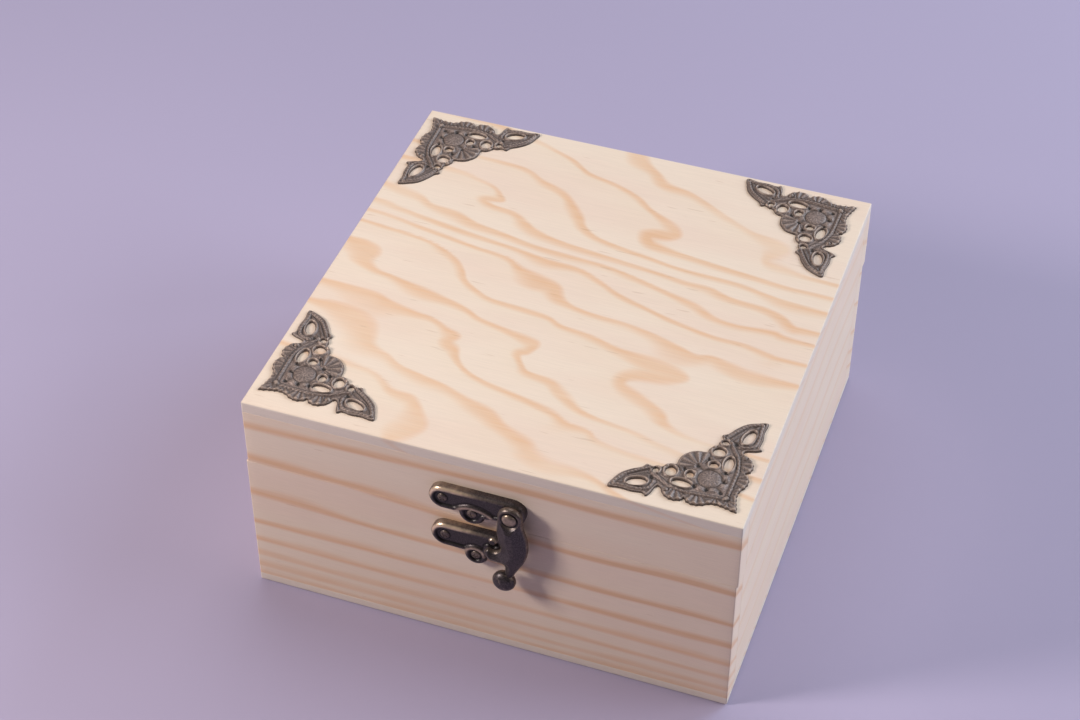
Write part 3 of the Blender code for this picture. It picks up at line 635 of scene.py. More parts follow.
def board_surface(low, high, steps, fine):
    """Vertices and outward faces of a board cut by grid lines in each direction."""
    lines = [grid_lines(low[i], high[i], steps[i], fine) for i in range(3)]
    shape = tuple(len(line) for line in lines)
    inner = np.zeros(shape, bool)
    inner[1:-1, 1:-1, 1:-1] = True
    numbers = np.full(shape, -1)
    numbers[~inner] = np.arange((~inner).sum())
    vertices = np.stack(np.meshgrid(*lines, indexing="ij"), -1)[~inner]
    faces = []
    for axis in range(3):
        for end in (0, shape[axis] - 1):
            sheet = np.take(numbers, end, axis)
            quads = np.stack([sheet[:-1, :-1], sheet[1:, :-1], sheet[1:, 1:], sheet[:-1, 1:]], -1)
            quads = quads.reshape(-1, 4)
            if (end == 0) != (axis == 1):
                quads = quads[:, ::-1]
            faces.append(quads)
    return vertices, np.concatenate(faces)


def rounded(points, low, high, radius):
    """Points outside the box's rounded edges, drawn in to them."""
    inside = np.clip(points, np.asarray(low) + radius, np.asarray(high) - radius)
    away = points - inside
    length = np.maximum(np.linalg.norm(away, axis=1, keepdims=True), 1e-12)
    return np.where(length > radius, inside + away * radius / length, points)


def make_board(name, low, high, body, nodes, grain, steps, along_y=False, greyer=0):
    """Board with sanded edges; grain turns its vertices (mm) into ring numbers, widths and strengths."""
    wanted = bpy.context.scene.storage_box
    middle = LID_MIDDLE if body == "lid" else BASE_MIDDLE
    whole_low = (middle - HALF_WIDTH, FRONT, -1.0 if body == "lid" else 0)
    whole_high = (middle + HALF_WIDTH, BACK, BOX_HEIGHT if body == "lid" else 1.0)
    vertices, faces = board_surface(low, high, [s * MM for s in steps], wanted.corner_ease)
    ring, gap, width, strength = grain(vertices / MM)
    grey = np.full(len(vertices), float(greyer))
    if name == "top_board":
        upright = (np.abs(vertices[:, :2] - (low[0] + HALF_WIDTH, 0)) > HALF_WIDTH - 0.2 * MM).any(1)
        grey[upright] = 1
        strength = np.where(upright, strength * 0.5, strength)
    vertices = rounded(vertices, low, high, wanted.joint_ease)
    vertices = rounded(vertices, whole_low, whole_high, wanted.corner_ease)
    made = new_piece(name, vertices, faces, "pine_along_y" if along_y else "pine_along_x")
    for label, amounts in (("ring", ring), ("ring_gap", gap), ("ring_width", width),
                           ("ring_strength", strength), ("greyer", grey)):
        paint(made, label, amounts)
    return settle(made, body, nodes)


def top_grain(points):
    """The top board: rings by the table, slanting through its thickness."""
    slant = 2.2 * (BOX_HEIGHT / MM - points[:, 2])
    flat = np.stack([points[:, 0], points[:, 1] - 0.7 - slant], 1)
    ring, gap = ring_numbers(flat, TOP_RINGS)
    return ring, gap, spotted(flat, 2.9, TOP_WIDE_SPOTS), spotted(flat, 0.85, TOP_STRENGTH_SPOTS)


def front_grain(points):
    slant = 0.55 * (points[:, 1] - FRONT / MM)
    flat = np.stack([points[:, 0], -(points[:, 2] + slant)], 1)
    ring, gap = ring_numbers(flat, front_rings())
    return ring, gap, spotted(flat, 3.1, FRONT_WIDE_SPOTS), spotted(flat, 1.0, FRONT_STRENGTH_SPOTS)


def plain_grain(places, sway, seed, along, across, through, slant, width, strength):
    """Grain of a board by its own axes: along its fibres, across its face and through it."""
    def grain(points):
        v = points[:, across] + slant * points[:, through]
        flat = np.stack([points[:, along], v], 1)
        ring, gap = ring_numbers(flat, wavy_rings(places, sway, seed))
        count = len(points)
        return ring, gap, np.full(count, width), np.full(count, strength)
    return grain


def make_boards():
    side = plain_grain(SIDE_RING_HEIGHTS, 1.6, 3, 1, 2, 0, 0.35, 3.0, 0.32)
    other_side = plain_grain(SIDE_RING_HEIGHTS, 1.2, 5, 1, 2, 0, -0.4, 2.6, 0.5)
    back = plain_grain(BACK_RING_HEIGHTS, 0.9, 1, 0, 2, 1, 0.6, 1.9, 0.75)
    floor = plain_grain(FLOOR_RING_PLACES, 1.8, 7, 0, 1, 2, 1.5, 2.4, 0.6)
    inner = HALF_WIDTH - WALL - JOINT_GAP
    left, right = BASE_MIDDLE - HALF_WIDTH, BASE_MIDDLE + HALF_WIDTH
    make_board("bottom_board", (left, FRONT, 0), (right, BACK, BOTTOM_THICKNESS), "base",
               ["base_bottom_board"], floor, (3, 3, 1), greyer=1)
    for body, part, middle, under, over in (("base", "wall", BASE_MIDDLE, BOTTOM_THICKNESS, SEAM),
                                            ("lid", "rail", LID_MIDDLE, SEAM, TOP_UNDERSIDE)):
        low, high = under + JOINT_GAP, over - JOINT_GAP
        left, right = middle - HALF_WIDTH, middle + HALF_WIDTH
        make_board(f"{body}_front_board", (left, FRONT, low), (right, FRONT + WALL, high), body,
                   [f"{body}_front_{part}"], front_grain, (3, 2, 0.9))
        make_board(f"{body}_back_board", (left, BACK - WALL, low), (right, BACK, high), body,
                   [f"{body}_back_{part}"], back, (3, 2, 0.9))
        make_board(f"{body}_left_board", (left, -inner, low), (left + WALL, inner, high), body,
                   [f"{body}_left_{part}"], other_side, (2, 3, 1.2), along_y=True)
        make_board(f"{body}_right_board", (right - WALL, -inner, low), (right, inner, high), body,
                   [f"{body}_right_{part}"], side, (2, 3, 1.2), along_y=True)
    left, right = LID_MIDDLE - HALF_WIDTH, LID_MIDDLE + HALF_WIDTH
    make_board("top_board", (left, FRONT, TOP_UNDERSIDE), (right, BACK, BOX_HEIGHT), "lid",
               ["lid_top_board"], top_grain, (0.86, 0.86, 0.8))


# Castings

def arc(x, y, radius, first, last, step=6):
    count = max(2, math.ceil(abs(last - first) / step))
    angles = np.radians(np.linspace(first, last, count + 1))
    return [(x + radius * math.cos(a), y + radius * math.sin(a)) for a in angles]


def evened(loop, spacing):
    """The closed loop with points at an even spacing."""
    loop = np.vstack([loop, loop[:1]])
    lengths = np.r_[0, np.cumsum(np.linalg.norm(np.diff(loop, axis=0), axis=1))]
    count = max(8, round(lengths[-1] / spacing))
    at = np.linspace(0, lengths[-1], count, endpoint=False)
    return np.stack([np.interp(at, lengths, loop[:, i]) for i in (0, 1)], 1)


def flat_form(loops, spacing):
    """Triangles inside the loops (mm), even in size, with each point's distance from the nearest edge."""
    loops = [evened(np.asarray(loop, float), spacing) for loop in loops]
    lines = [np.vstack([loop, loop[:1]]) for loop in loops]
    outline = loops[0]
    low, high = outline.min(0), outline.max(0)
    rows = np.arange(low[1], high[1], spacing * 0.866)
    spots = [(x + (spacing / 2 if number % 2 else 0), y) for number, y in enumerate(rows)
             for x in np.arange(low[0], high[0], spacing)]
    spots = np.array(spots)

    def edge_distance(points):
        return np.min([distance_to(points, line) for line in lines], axis=0)

    def is_inside(points):
        return sum(lines_above(points, line) for line in lines) % 2 == 1

    spots = spots[is_inside(spots)]
    spots = spots[edge_distance(spots) > 0.55 * spacing]
    rim = np.vstack(loops)
    points = np.vstack([rim, spots])
    reach = np.abs(points).max()
    edges, start = [], 0
    for loop in loops:
        edges += [(start + i, start + (i + 1) % len(loop)) for i in range(len(loop))]
        start += len(loop)
    _, _, triangles, origins, _, _ = delaunay_2d_cdt(
        [Vector(p) for p in points / reach], edges, [], 0, 1e-7)
    own = np.array([origin[0] for origin in origins])
    triangles = own[np.array(triangles)]
    triangles = triangles[is_inside(points[triangles].mean(1))]
    distance = np.r_[np.zeros(len(rim)), edge_distance(spots)]
    _, _, caps, origins, _, _ = delaunay_2d_cdt([Vector(p) for p in rim / reach], edges, [], 0, 1e-7)
    own = np.array([origin[0] for origin in origins])
    caps = own[np.array(caps)]
    caps = caps[is_inside(rim[caps].mean(1))]
    return points, distance, triangles, caps, loops


def casting(name, form, relief, back, place, right, up, out, material):
    """Cast piece: a flat back, edges along the form's loops and a face whose height follows relief (mm)."""
    points, distance, triangles, caps, loops = form
    heights, wear_and_highlight, patina_and_shade = relief(points, distance)
    axes = np.array([right, up, out])
    flat = points @ axes[:2] * MM + np.array(place)
    face = flat + heights[:, None] * MM * axes[2]
    rim = sum(len(loop) for loop in loops)
    under = flat[:rim] + back * MM * axes[2]
    count = len(points)
    faces = [tuple(t) for t in triangles]
    faces += [tuple(t[::-1] + count) for t in caps]
    start = 0
    for loop in loops:
        for i in range(len(loop)):
            a, b = start + i, start + (i + 1) % len(loop)
            faces.append((a + count, b + count, b, a))
        start += len(loop)
    if Vector(right).cross(Vector(up)).dot(Vector(out)) < 0:
        faces = [tuple(reversed(f)) for f in faces]
    made = new_piece(name, np.vstack([face, under]), faces, material)
    # The relief's wear and highlight share and its patina and painted shade go on the face and down the
    # side walls.
    paint(made, "wear_and_highlight", np.r_[wear_and_highlight, wear_and_highlight[:rim]])
    paint(made, "patina_and_shade", np.r_[patina_and_shade, patina_and_shade[:rim]])
    made.data.set_sharp_from_angle(angle=math.radians(55))
    return made


def hill(distance, middle, reach):
    """Soft ridge of height 1 at the middle distance."""
    return np.exp(-((distance - middle) / reach) ** 2)


def step_up(amount, low, high):
    t = np.clip((amount - low) / (high - low), 0, 1)
    return t * t * (3 - 2 * t)


def away_from(points, x, y):
    d = points - np.array((x, y))
    return np.linalg.norm(d, axis=1), np.arctan2(d[:, 1], d[:, 0])


# Corner ornaments

def ornament_loops():
    leg = ORNAMENT_LEG / MM
    half = [(x * leg, y * leg) for x, y in ORNAMENT_OUTLINE]
    middle = ORNAMENT_MIDDLE * leg
    outline = half + [(middle, middle)] + [(y, x) for x, y in reversed(half[1:])]
    edge = curve_through(outline, 10, closed=True)
    along, across = edge.max(1), edge.min(1)
    notch = 0.28 * np.abs(np.sin(along * math.pi / 1.7)) * (1 - step_up(along, 22.0, 23.0)) * (across < 2.5)
    edge[np.arange(len(edge)), edge.argmin(1)] += notch - 0.1
    loops = [edge]
    for x, y, long_half, short_half, degrees in ORNAMENT_HOLES:
        c, s = math.cos(math.radians(degrees)), math.sin(math.radians(degrees))
        oval = [(math.cos(a) * long_half * leg, math.sin(a) * short_half * leg)
                for a in np.linspace(0, -math.tau, 36, endpoint=False)]
        hole = [(x * leg + a * c - b * s, y * leg + a * s + b * c) for a, b in oval]
        loops += [np.array(hole), np.array(hole)[::-1, ::-1]]
    return loops


def fan(points, x, y, toward, spread, start, end, flutes):
    """Fluted fan that opens from a point: its height, 1 on the crests, and its valleys, painted dark with
    patina and shade.
    """
    radius, angle = away_from(points, x, y)
    turn = (angle - math.radians(toward) + math.pi) % math.tau - math.pi
    half = math.radians(spread) / 2
    inside = step_up(half - np.abs(turn), 0, 0.12) * step_up(radius, start, start + 0.6)
    inside *= 1 - step_up(radius, end - 0.5, end)
    crest = 0.5 + 0.5 * np.cos(turn / half * math.pi * flutes)
    height = inside * (0.35 + 0.65 * crest) * (0.6 + 0.4 * np.clip(radius / end, 0, 1))
    return height, inside * (1 - crest) ** 2


def ornament_relief(points, distance):
    relief = bpy.context.scene.storage_box.relief / MM
    half = np.stack([points.max(1), points.min(1)], 1)
    along, across = half.T
    rings = [np.vstack([loop, loop[:1]]) for loop in ornament_loops()[1:]]
    holes = np.min([distance_to(points, ring) for ring in rings], axis=0)
    forms = np.maximum(0.45 * hill(distance, 0.5, 0.35), 0.8 * hill(holes, 0.55, 0.38))
    # Dark is patina and painted shade: in the groove inside the rim and round each hole, whose upper sides
    # fall into shadow.
    dark = np.maximum(0.5 * hill(holes, 1.15, 0.25), 0.35 * hill(distance, 1.05, 0.25))

    radius, angle = away_from(points, BOSS, BOSS)
    flutes = 0.5 + 0.5 * np.cos(angle * 13)
    boss = np.sqrt(np.clip(1 - (radius / BOSS_RADIUS) ** 2, 0, 1))
    forms = np.maximum(forms, boss * (0.85 + 0.15 * flutes))
    valleys = (1 - flutes) ** 2 * step_up(radius, 0.9, 1.6) * (1 - step_up(radius, 2.8, 3.4))
    petals = np.sin(4 * (angle - math.pi / 4)) ** 2
    ring = step_up(radius, 3.7, 4.3) * (1 - step_up(radius, 5.3, 6.1))
    forms = np.maximum(forms, 0.75 * ring * np.sqrt(petals))
    # Painted shade between the petals, at the foot of the boss and in its flutes.
    dark = np.maximum(dark, 0.6 * ring * (1 - petals) ** 3)
    dark = np.maximum(dark, np.maximum(0.8 * hill(radius, BOSS_RADIUS + 0.2, 0.25), 0.35 * valleys))
    fans = [(points, 15.0, 15.0, 45, 165, 1.0, 6.3, 6)]
    for x, y, toward, spread, end, ribs in ((12.8, 5.0, -90, 104, 5.9, 4), (19.4, 5.2, -82, 108, 5.9, 4),
                                            (7.2, 3.9, -92, 150, 3.8, 4), (3.6, 3.4, -135, 150, 4.6, 4)):
        fans.append((half, x, y, toward, spread, 0.5, end, ribs))
    for given in fans:
        height, valley = fan(*given)
        forms = np.maximum(forms, 0.9 * height)
        # Painted shade in the fans' valleys.
        dark = np.maximum(dark, 0.6 * valley)

    leaf = step_up(along, 27.0, 28.4) * step_up(distance, 1.2, 1.6) * step_up(holes, 0.8, 1.1)
    barbs = 0.5 + 0.5 * np.cos((along * 0.8 + across * 1.2) * 3.0)
    forms = np.maximum(forms, leaf * 0.38 * barbs)
    # Patina and painted shade between the leaf's barbs.
    dark = np.maximum(dark, leaf * (0.6 - 0.35 * barbs))
    for width, height, line in ORNAMENT_STRANDS:
        d = distance_to(half, curve_through(line, 4))
        twist = 0.5 + 0.5 * np.cos((along - 0.7 * across) * 4.6)
        forms *= step_up(d, 0.7 * width, width + 0.45)
        rope = np.sqrt(np.clip(1 - (d / width) ** 2, 0, 1))
        forms = np.maximum(forms, height * rope * (0.8 + 0.2 * twist))
        # Painted shade beside each strand and in its twists.
        dark = np.maximum(dark * step_up(d, 0.5 * width, width), 0.7 * hill(d, width + 0.3, 0.24))
        dark = np.maximum(dark, 0.4 * rope * (1 - twist) ** 2)
    for x, y in ORNAMENT_BEADS:
        r, _ = away_from(half, x, y)
        forms = np.maximum(forms * step_up(r, 0.8, 1.3), np.sqrt(np.clip(1 - (r / 0.95) ** 2, 0, 1)))
        # Painted shade round each bead.
        dark = np.maximum(dark, 0.7 * hill(r, 1.15, 0.22))
    # Pits are sunk and painted dark with shade.
    pits = np.zeros(len(points))
    for x, y in ORNAMENT_PITS:
        r, _ = away_from(half, x, y)
        pits = np.maximum(pits, 1 - step_up(r, 0.45, 0.95))
    heights = 0.4 + relief * forms * (1 - pits) - 0.34 * pits
    heights = np.minimum(heights, 0.3 + 1.7 * distance)
    # Painted shade along the outline, on the side walls, with patina.
    dark *= step_up(distance, 0.25, 0.6)
    dark = np.maximum(dark, 0.75 * hill(distance, 0, 0.22))
    wear_and_highlight = (0.8 - 0.7 * boss) * step_up(forms, 0.5, 1.0) + 0.6 * hill(distance, 0.5, 0.25)
    wear_and_highlight *= 1 - np.clip(dark + pits, 0, 1)
    return heights, np.clip(wear_and_highlight, 0, 1), np.clip(np.maximum(dark, pits), 0, 1)


def make_ornaments():
    leg = ORNAMENT_LEG
    form = flat_form(ornament_loops(), 0.19)
    for ending, x_side, y_side, x_inset, y_inset, degrees in ORNAMENT_PLACES:
        turn = Matrix.Rotation(math.radians(degrees), 3, "Z")
        right = turn @ Vector((-x_side, 0, 0))
        up = turn @ Vector((0, -y_side, 0))
        place = Vector((LID_MIDDLE + x_side * (HALF_WIDTH - x_inset * leg),
                        y_side * (HALF_WIDTH - y_inset * leg), BOX_HEIGHT))
        made = casting(f"ornament_{ending}", form, ornament_relief, 0.0, place, right, up, UP,
                       "ornament_metal")
        settle(made, "lid", [f"corner_ornament_{ending}"])


# Latch

def lobed(lobes):
    size = PLATE_LENGTH / MM
    loop = []
    for x, y, radius, first, last in lobes:
        loop += arc(x * size, y * size, radius * size, first, last)
    return loop


def in_mm(shares, size):
    return [(x * size / MM, y * size / MM) for x, y in shares]


def plate_relief(screws, raised, post, arch):
    """Upright sides, a rolled rim and arch round sunken fields; raised is the round boss or post."""
    def relief(points, distance):
        roll = np.clip(distance / 1.35, 0, 1)
        heights = PLATE_SIDE + PLATE_RIM * np.sqrt(1 - (1 - roll) ** 2)
        sunk = step_up(distance, 1.5, 2.0)
        heights -= PLATE_FIELD * sunk
        # The rim's gold is partly wear and partly a painted highlight: it fades towards the right and is
        # kept to the upper side, where light from above falls.
        worn_and_lit_along = 0.92 - 0.68 * step_up(points[:, 0], -20, -9)
        upper = step_up(points[:, 1] - screws[0][1], -2.0, 1.5)
        wear_and_highlight = worn_and_lit_along * upper * hill(distance, 0.6, 0.6)
        # Painted shade: a dark line where the rim's inner wall drops into the sunken field, which is a
        # little darker too.
        patina_and_shade = 0.9 * hill(distance, 1.85, 0.32) + 0.2 * sunk
        d = distance_to(points, curve_through(arch))
        ridge = np.sqrt(np.clip(1 - (d / 1.2) ** 2, 0, 1)) * step_up(distance, 0.2, 1.0)
        heights = np.maximum(heights, 2.0 + ridge)
        wear_and_highlight = np.maximum(wear_and_highlight, 0.5 * hill(d, 0, 0.7))
        # Painted shade in the field beside the arch.
        patina_and_shade = np.maximum(patina_and_shade * (1 - hill(d, 0, 1.0)), 0.9 * hill(d, 1.5, 0.25) * sunk)
        # Painted shade in a ring round each screw.
        for x, y in screws:
            r, _ = away_from(points, x, y)
            patina_and_shade = np.maximum(patina_and_shade, 0.8 * hill(r, 1.7, 0.22))
        (x, y), radius, height = raised
        r, _ = away_from(points, x, y)
        top = 1 - step_up(r, radius - 0.25, radius + 0.1)
        heights = heights * (1 - top) + height * top
        if post:
            wear_and_highlight = np.maximum(wear_and_highlight, 0.6 * hill(r, radius, 0.3))
        return heights, wear_and_highlight, np.clip(patina_and_shade * (1 - top), 0, 1)
    return relief


def hook_outline():
    ball_x, ball_y = in_mm([HOOK_BALL], HOOK_LENGTH)[0]
    head = arc(0, 0, HOOK_HEAD_RADIUS, -20, 190)
    tail = arc(ball_x, ball_y, HOOK_TAIL_RADIUS, 110, 380)
    left = in_mm(HOOK_LEFT, HOOK_LENGTH)
    right = in_mm(HOOK_RIGHT, HOOK_LENGTH)
    left = curve_through([head[-1], *left, tail[0]], 5)[1:-1]
    right = curve_through([tail[-1], *right, head[0]], 5)[1:-1]
    return np.vstack([head, left, tail, right])


def hook_relief(points, distance):
    """Two slopes that meet in a ridge, and a raised ring round the rivet."""
    heights = HOOK_EDGE + 0.4 * np.sqrt(np.clip(distance / 0.5, 0, 1)) + 0.62 * np.minimum(distance, 3.6)
    r, _ = away_from(points, 0, 0)
    flat = 1 - step_up(r, 3.0, 3.7)
    heights = heights * (1 - flat) + HOOK_RING * flat + 0.25 * hill(r, 3.15, 0.4)
    wear_and_highlight = 0.3 * hill(distance, 0.1, 0.35) * (r > 2.5) + 0.25 * hill(r, 3.2, 0.3)
    # Painted shade in a ring round the foot of the rivet's head.
    patina_and_shade = 0.8 * hill(r, 2.7, 0.25)
    return heights, np.clip(wear_and_highlight, 0, 1), np.clip(patina_and_shade, 0, 1)


def turned(profile, place, direction, sides=40):
    """Vertices and faces of a turned form: profile gives radius and height, pole to pole (mm)."""
    axis = Vector(direction).normalized()
    side = axis.orthogonal().normalized()
    other = axis.cross(side)
    vertices, rings = [], []
    for radius, height in profile:
        middle = Vector(place) + axis * height * MM
        count = 1 if radius == 0 else sides
        rings.append([len(vertices) + i for i in range(count)])
        for i in range(count):
            angle = math.tau * i / sides
            vertices.append(middle + radius * MM * (math.cos(angle) * side + math.sin(angle) * other))
    faces = []
    for low, high in zip(rings, rings[1:]):
        for i in range(sides):
            j = (i + 1) % sides
            if len(low) == 1:
                faces.append((low[0], high[j], high[i]))
            elif len(high) == 1:
                faces.append((low[i], low[j], high[0]))
            else:
                faces.append((low[i], low[j], high[j], high[i]))
    return vertices, faces


def united(made, others):
    """One closed skin round a piece and the pieces that touch it, which are then removed."""
    for other in others:
        modifier = made.modifiers.new("Union", "BOOLEAN")
        modifier.operation = "UNION"
        modifier.solver = "EXACT"
        modifier.object = other
    evaluated = made.evaluated_get(bpy.context.evaluated_depsgraph_get())
    mesh = bpy.data.meshes.new_from_object(evaluated)
    made.modifiers.clear()
    made.data = mesh
    for other in others:
        bpy.data.objects.remove(other)
    made.data.shade_smooth()
    made.data.set_sharp_from_angle(angle=math.radians(50))
    return made


def round_piece(name, profile, place, direction, material, wear_and_highlight):
    vertices, faces = turned(profile, place, direction)
    made = new_piece(name, vertices, faces, material)
    paint(made, "wear_and_highlight", [wear_and_highlight] * len(vertices))
    paint(made, "patina_and_shade", [0.0] * len(vertices))
    return made


def dome_profile(radius, height, seat, rows=7):
    turns = np.linspace(0, math.pi / 2, rows)
    return [(radius * math.cos(a), seat + height * math.sin(a)) for a in turns[:-1]] + [(0, seat + height)]


def make_latch():
    size = PLATE_LENGTH
    rivet_hole = arc(0, 0, RIVET_HOLE, 360, 0, 10)[:-1]
    upper = casting("latch_plate_upper", flat_form([lobed(UPPER_LOBES), rivet_hole], 0.26),
                    plate_relief(in_mm(UPPER_SCREWS, size), ((0, 0), 2.8, POST_HEIGHT), False, UPPER_ARCH),
                    0.0, RIVET, RIGHT, UP, OUT, "latch_metal")
    settle(upper, "lid", ["latch_upper_plate"])
    catch = in_mm([CATCH], size)[0]
    lower = casting("latch_plate_lower", flat_form([lobed(LOWER_LOBES)], 0.26),
                    plate_relief(in_mm(LOWER_SCREWS, size), (catch, 1.2, POST_HEIGHT), True, LOWER_ARCH),
                    0.0, LOWER_PLATE, RIGHT, UP, OUT, "latch_metal")
    settle(lower, "base", ["latch_lower_plate"])
    hook = casting("swing_hook", flat_form([hook_outline(), rivet_hole], 0.26), hook_relief,
                   HOOK_BACK, RIVET, RIGHT, UP, OUT, "latch_metal")
    ball_x, ball_y = in_mm([HOOK_BALL], HOOK_LENGTH)[0]
    turns = np.linspace(0, math.pi, 17)
    ball = [(BALL_HALF_WIDTH * math.sin(a), -BALL_HALF_DEPTH * math.cos(a)) for a in turns]
    ball[0], ball[-1] = (0, -BALL_HALF_DEPTH), (0, BALL_HALF_DEPTH)
    middle = RIVET + RIGHT * ball_x * MM + UP * ball_y * MM + OUT * 4.7 * MM
    end = round_piece("hook_ball", ball, middle, OUT, "latch_metal", 0.58)
    united(hook, [end])
    settle(hook, "hook", ["latch_hook"])
    rivet = [(0, 0.2), (1.35, 0.2), (1.35, 5.2), (2.2, 5.2), (RIVET_HEAD, 5.3)]
    rivet += dome_profile(RIVET_HEAD, 0.95, 5.35)
    head = round_piece("hook_rivet", rivet, RIVET, OUT, "latch_metal", 0.42)
    head.data.set_sharp_from_angle(angle=math.radians(50))
    settle(head, "lid", ["latch_rivet"])


# Hinges

def leaf_outline(side):
    """Rounded leaf in X and Z about the hinge's middle (mm); side is -1 for the base's leaf."""
    x, z = LEAF_HALF - LEAF_CORNER, LEAF_FAR - LEAF_CORNER
    loop = [(LEAF_HALF, LEAF_NEAR), (-LEAF_HALF, LEAF_NEAR)]
    loop += arc(-x, z, LEAF_CORNER, 180, 90, 15) + arc(x, z, LEAF_CORNER, 90, 0, 15)
    if side > 0:
        return loop[::-1]
    return [(x, -z) for x, z in loop]


def leaf_relief(holes):
    def relief(points, distance):
        heights = 0.55 + 0.3 * np.sqrt(np.clip(distance / 0.35, 0, 1))
        wear_and_highlight = 0.55 * hill(distance, 0.2, 0.3)
        patina_and_shade = np.zeros(len(points))
        for x, y in holes:
            r, _ = away_from(points, x, y)
            dish = 1 - step_up(r, 1.5, 2.2)
            heights -= 0.25 * dish
            # Painted shade in a ring round each screw's dish.
            patina_and_shade = np.maximum(patina_and_shade, 0.7 * hill(r, 1.8, 0.3))
        return heights, np.clip(wear_and_highlight, 0, 1), np.clip(patina_and_shade, 0, 1)
    return relief


def make_hinges():
    near = LEAF_HALF / 3
    spans = {"base": ((-LEAF_HALF, -near - KNUCKLE_GAP), (near + KNUCKLE_GAP, LEAF_HALF)),
             "lid": ((-near + KNUCKLE_GAP, near - KNUCKLE_GAP),)}
    for hand, x_middle in HINGE_MIDDLES:
        for half, side in (("base", -1), ("lid", 1)):
            place = Vector((x_middle, BACK, SEAM))
            holes = [(x, side * HINGE_SCREW_Z) for x in HINGE_SCREW_X]
            leaf = casting(f"hinge_leaf_{half}_{hand}", flat_form([leaf_outline(side)], 0.4),
                           leaf_relief(holes), 0.02, place, RIGHT, UP, BACKWARD, "latch_metal")
            barrels = []
            for low, high in spans[half]:
                edge, part, full = KNUCKLE_EDGE, KNUCKLE_EDGE * 0.3, KNUCKLE_RADIUS
                profile = [(0, low), (full - edge, low), (full - part, low + part), (full, low + edge),
                           (full, high - edge), (full - part, high - part), (full - edge, high), (0, high)]
                at = HINGE_AXIS + RIGHT * x_middle
                barrels.append(round_piece("knuckle", profile, at, RIGHT, "latch_metal", 0.12))
            united(leaf, barrels)
            settle(leaf, half, [f"hinge_{hand}_{half}_leaf"])
        pin = [(radius, -height) for radius, height in reversed(PIN_END)] + list(PIN_END)
        made = round_piece(f"hinge_pin_{hand}", pin, HINGE_AXIS + RIGHT * x_middle, RIGHT,
                           "latch_metal", 0.35)
        settle(made, "base", [f"hinge_{hand}_pin"])


# Screws

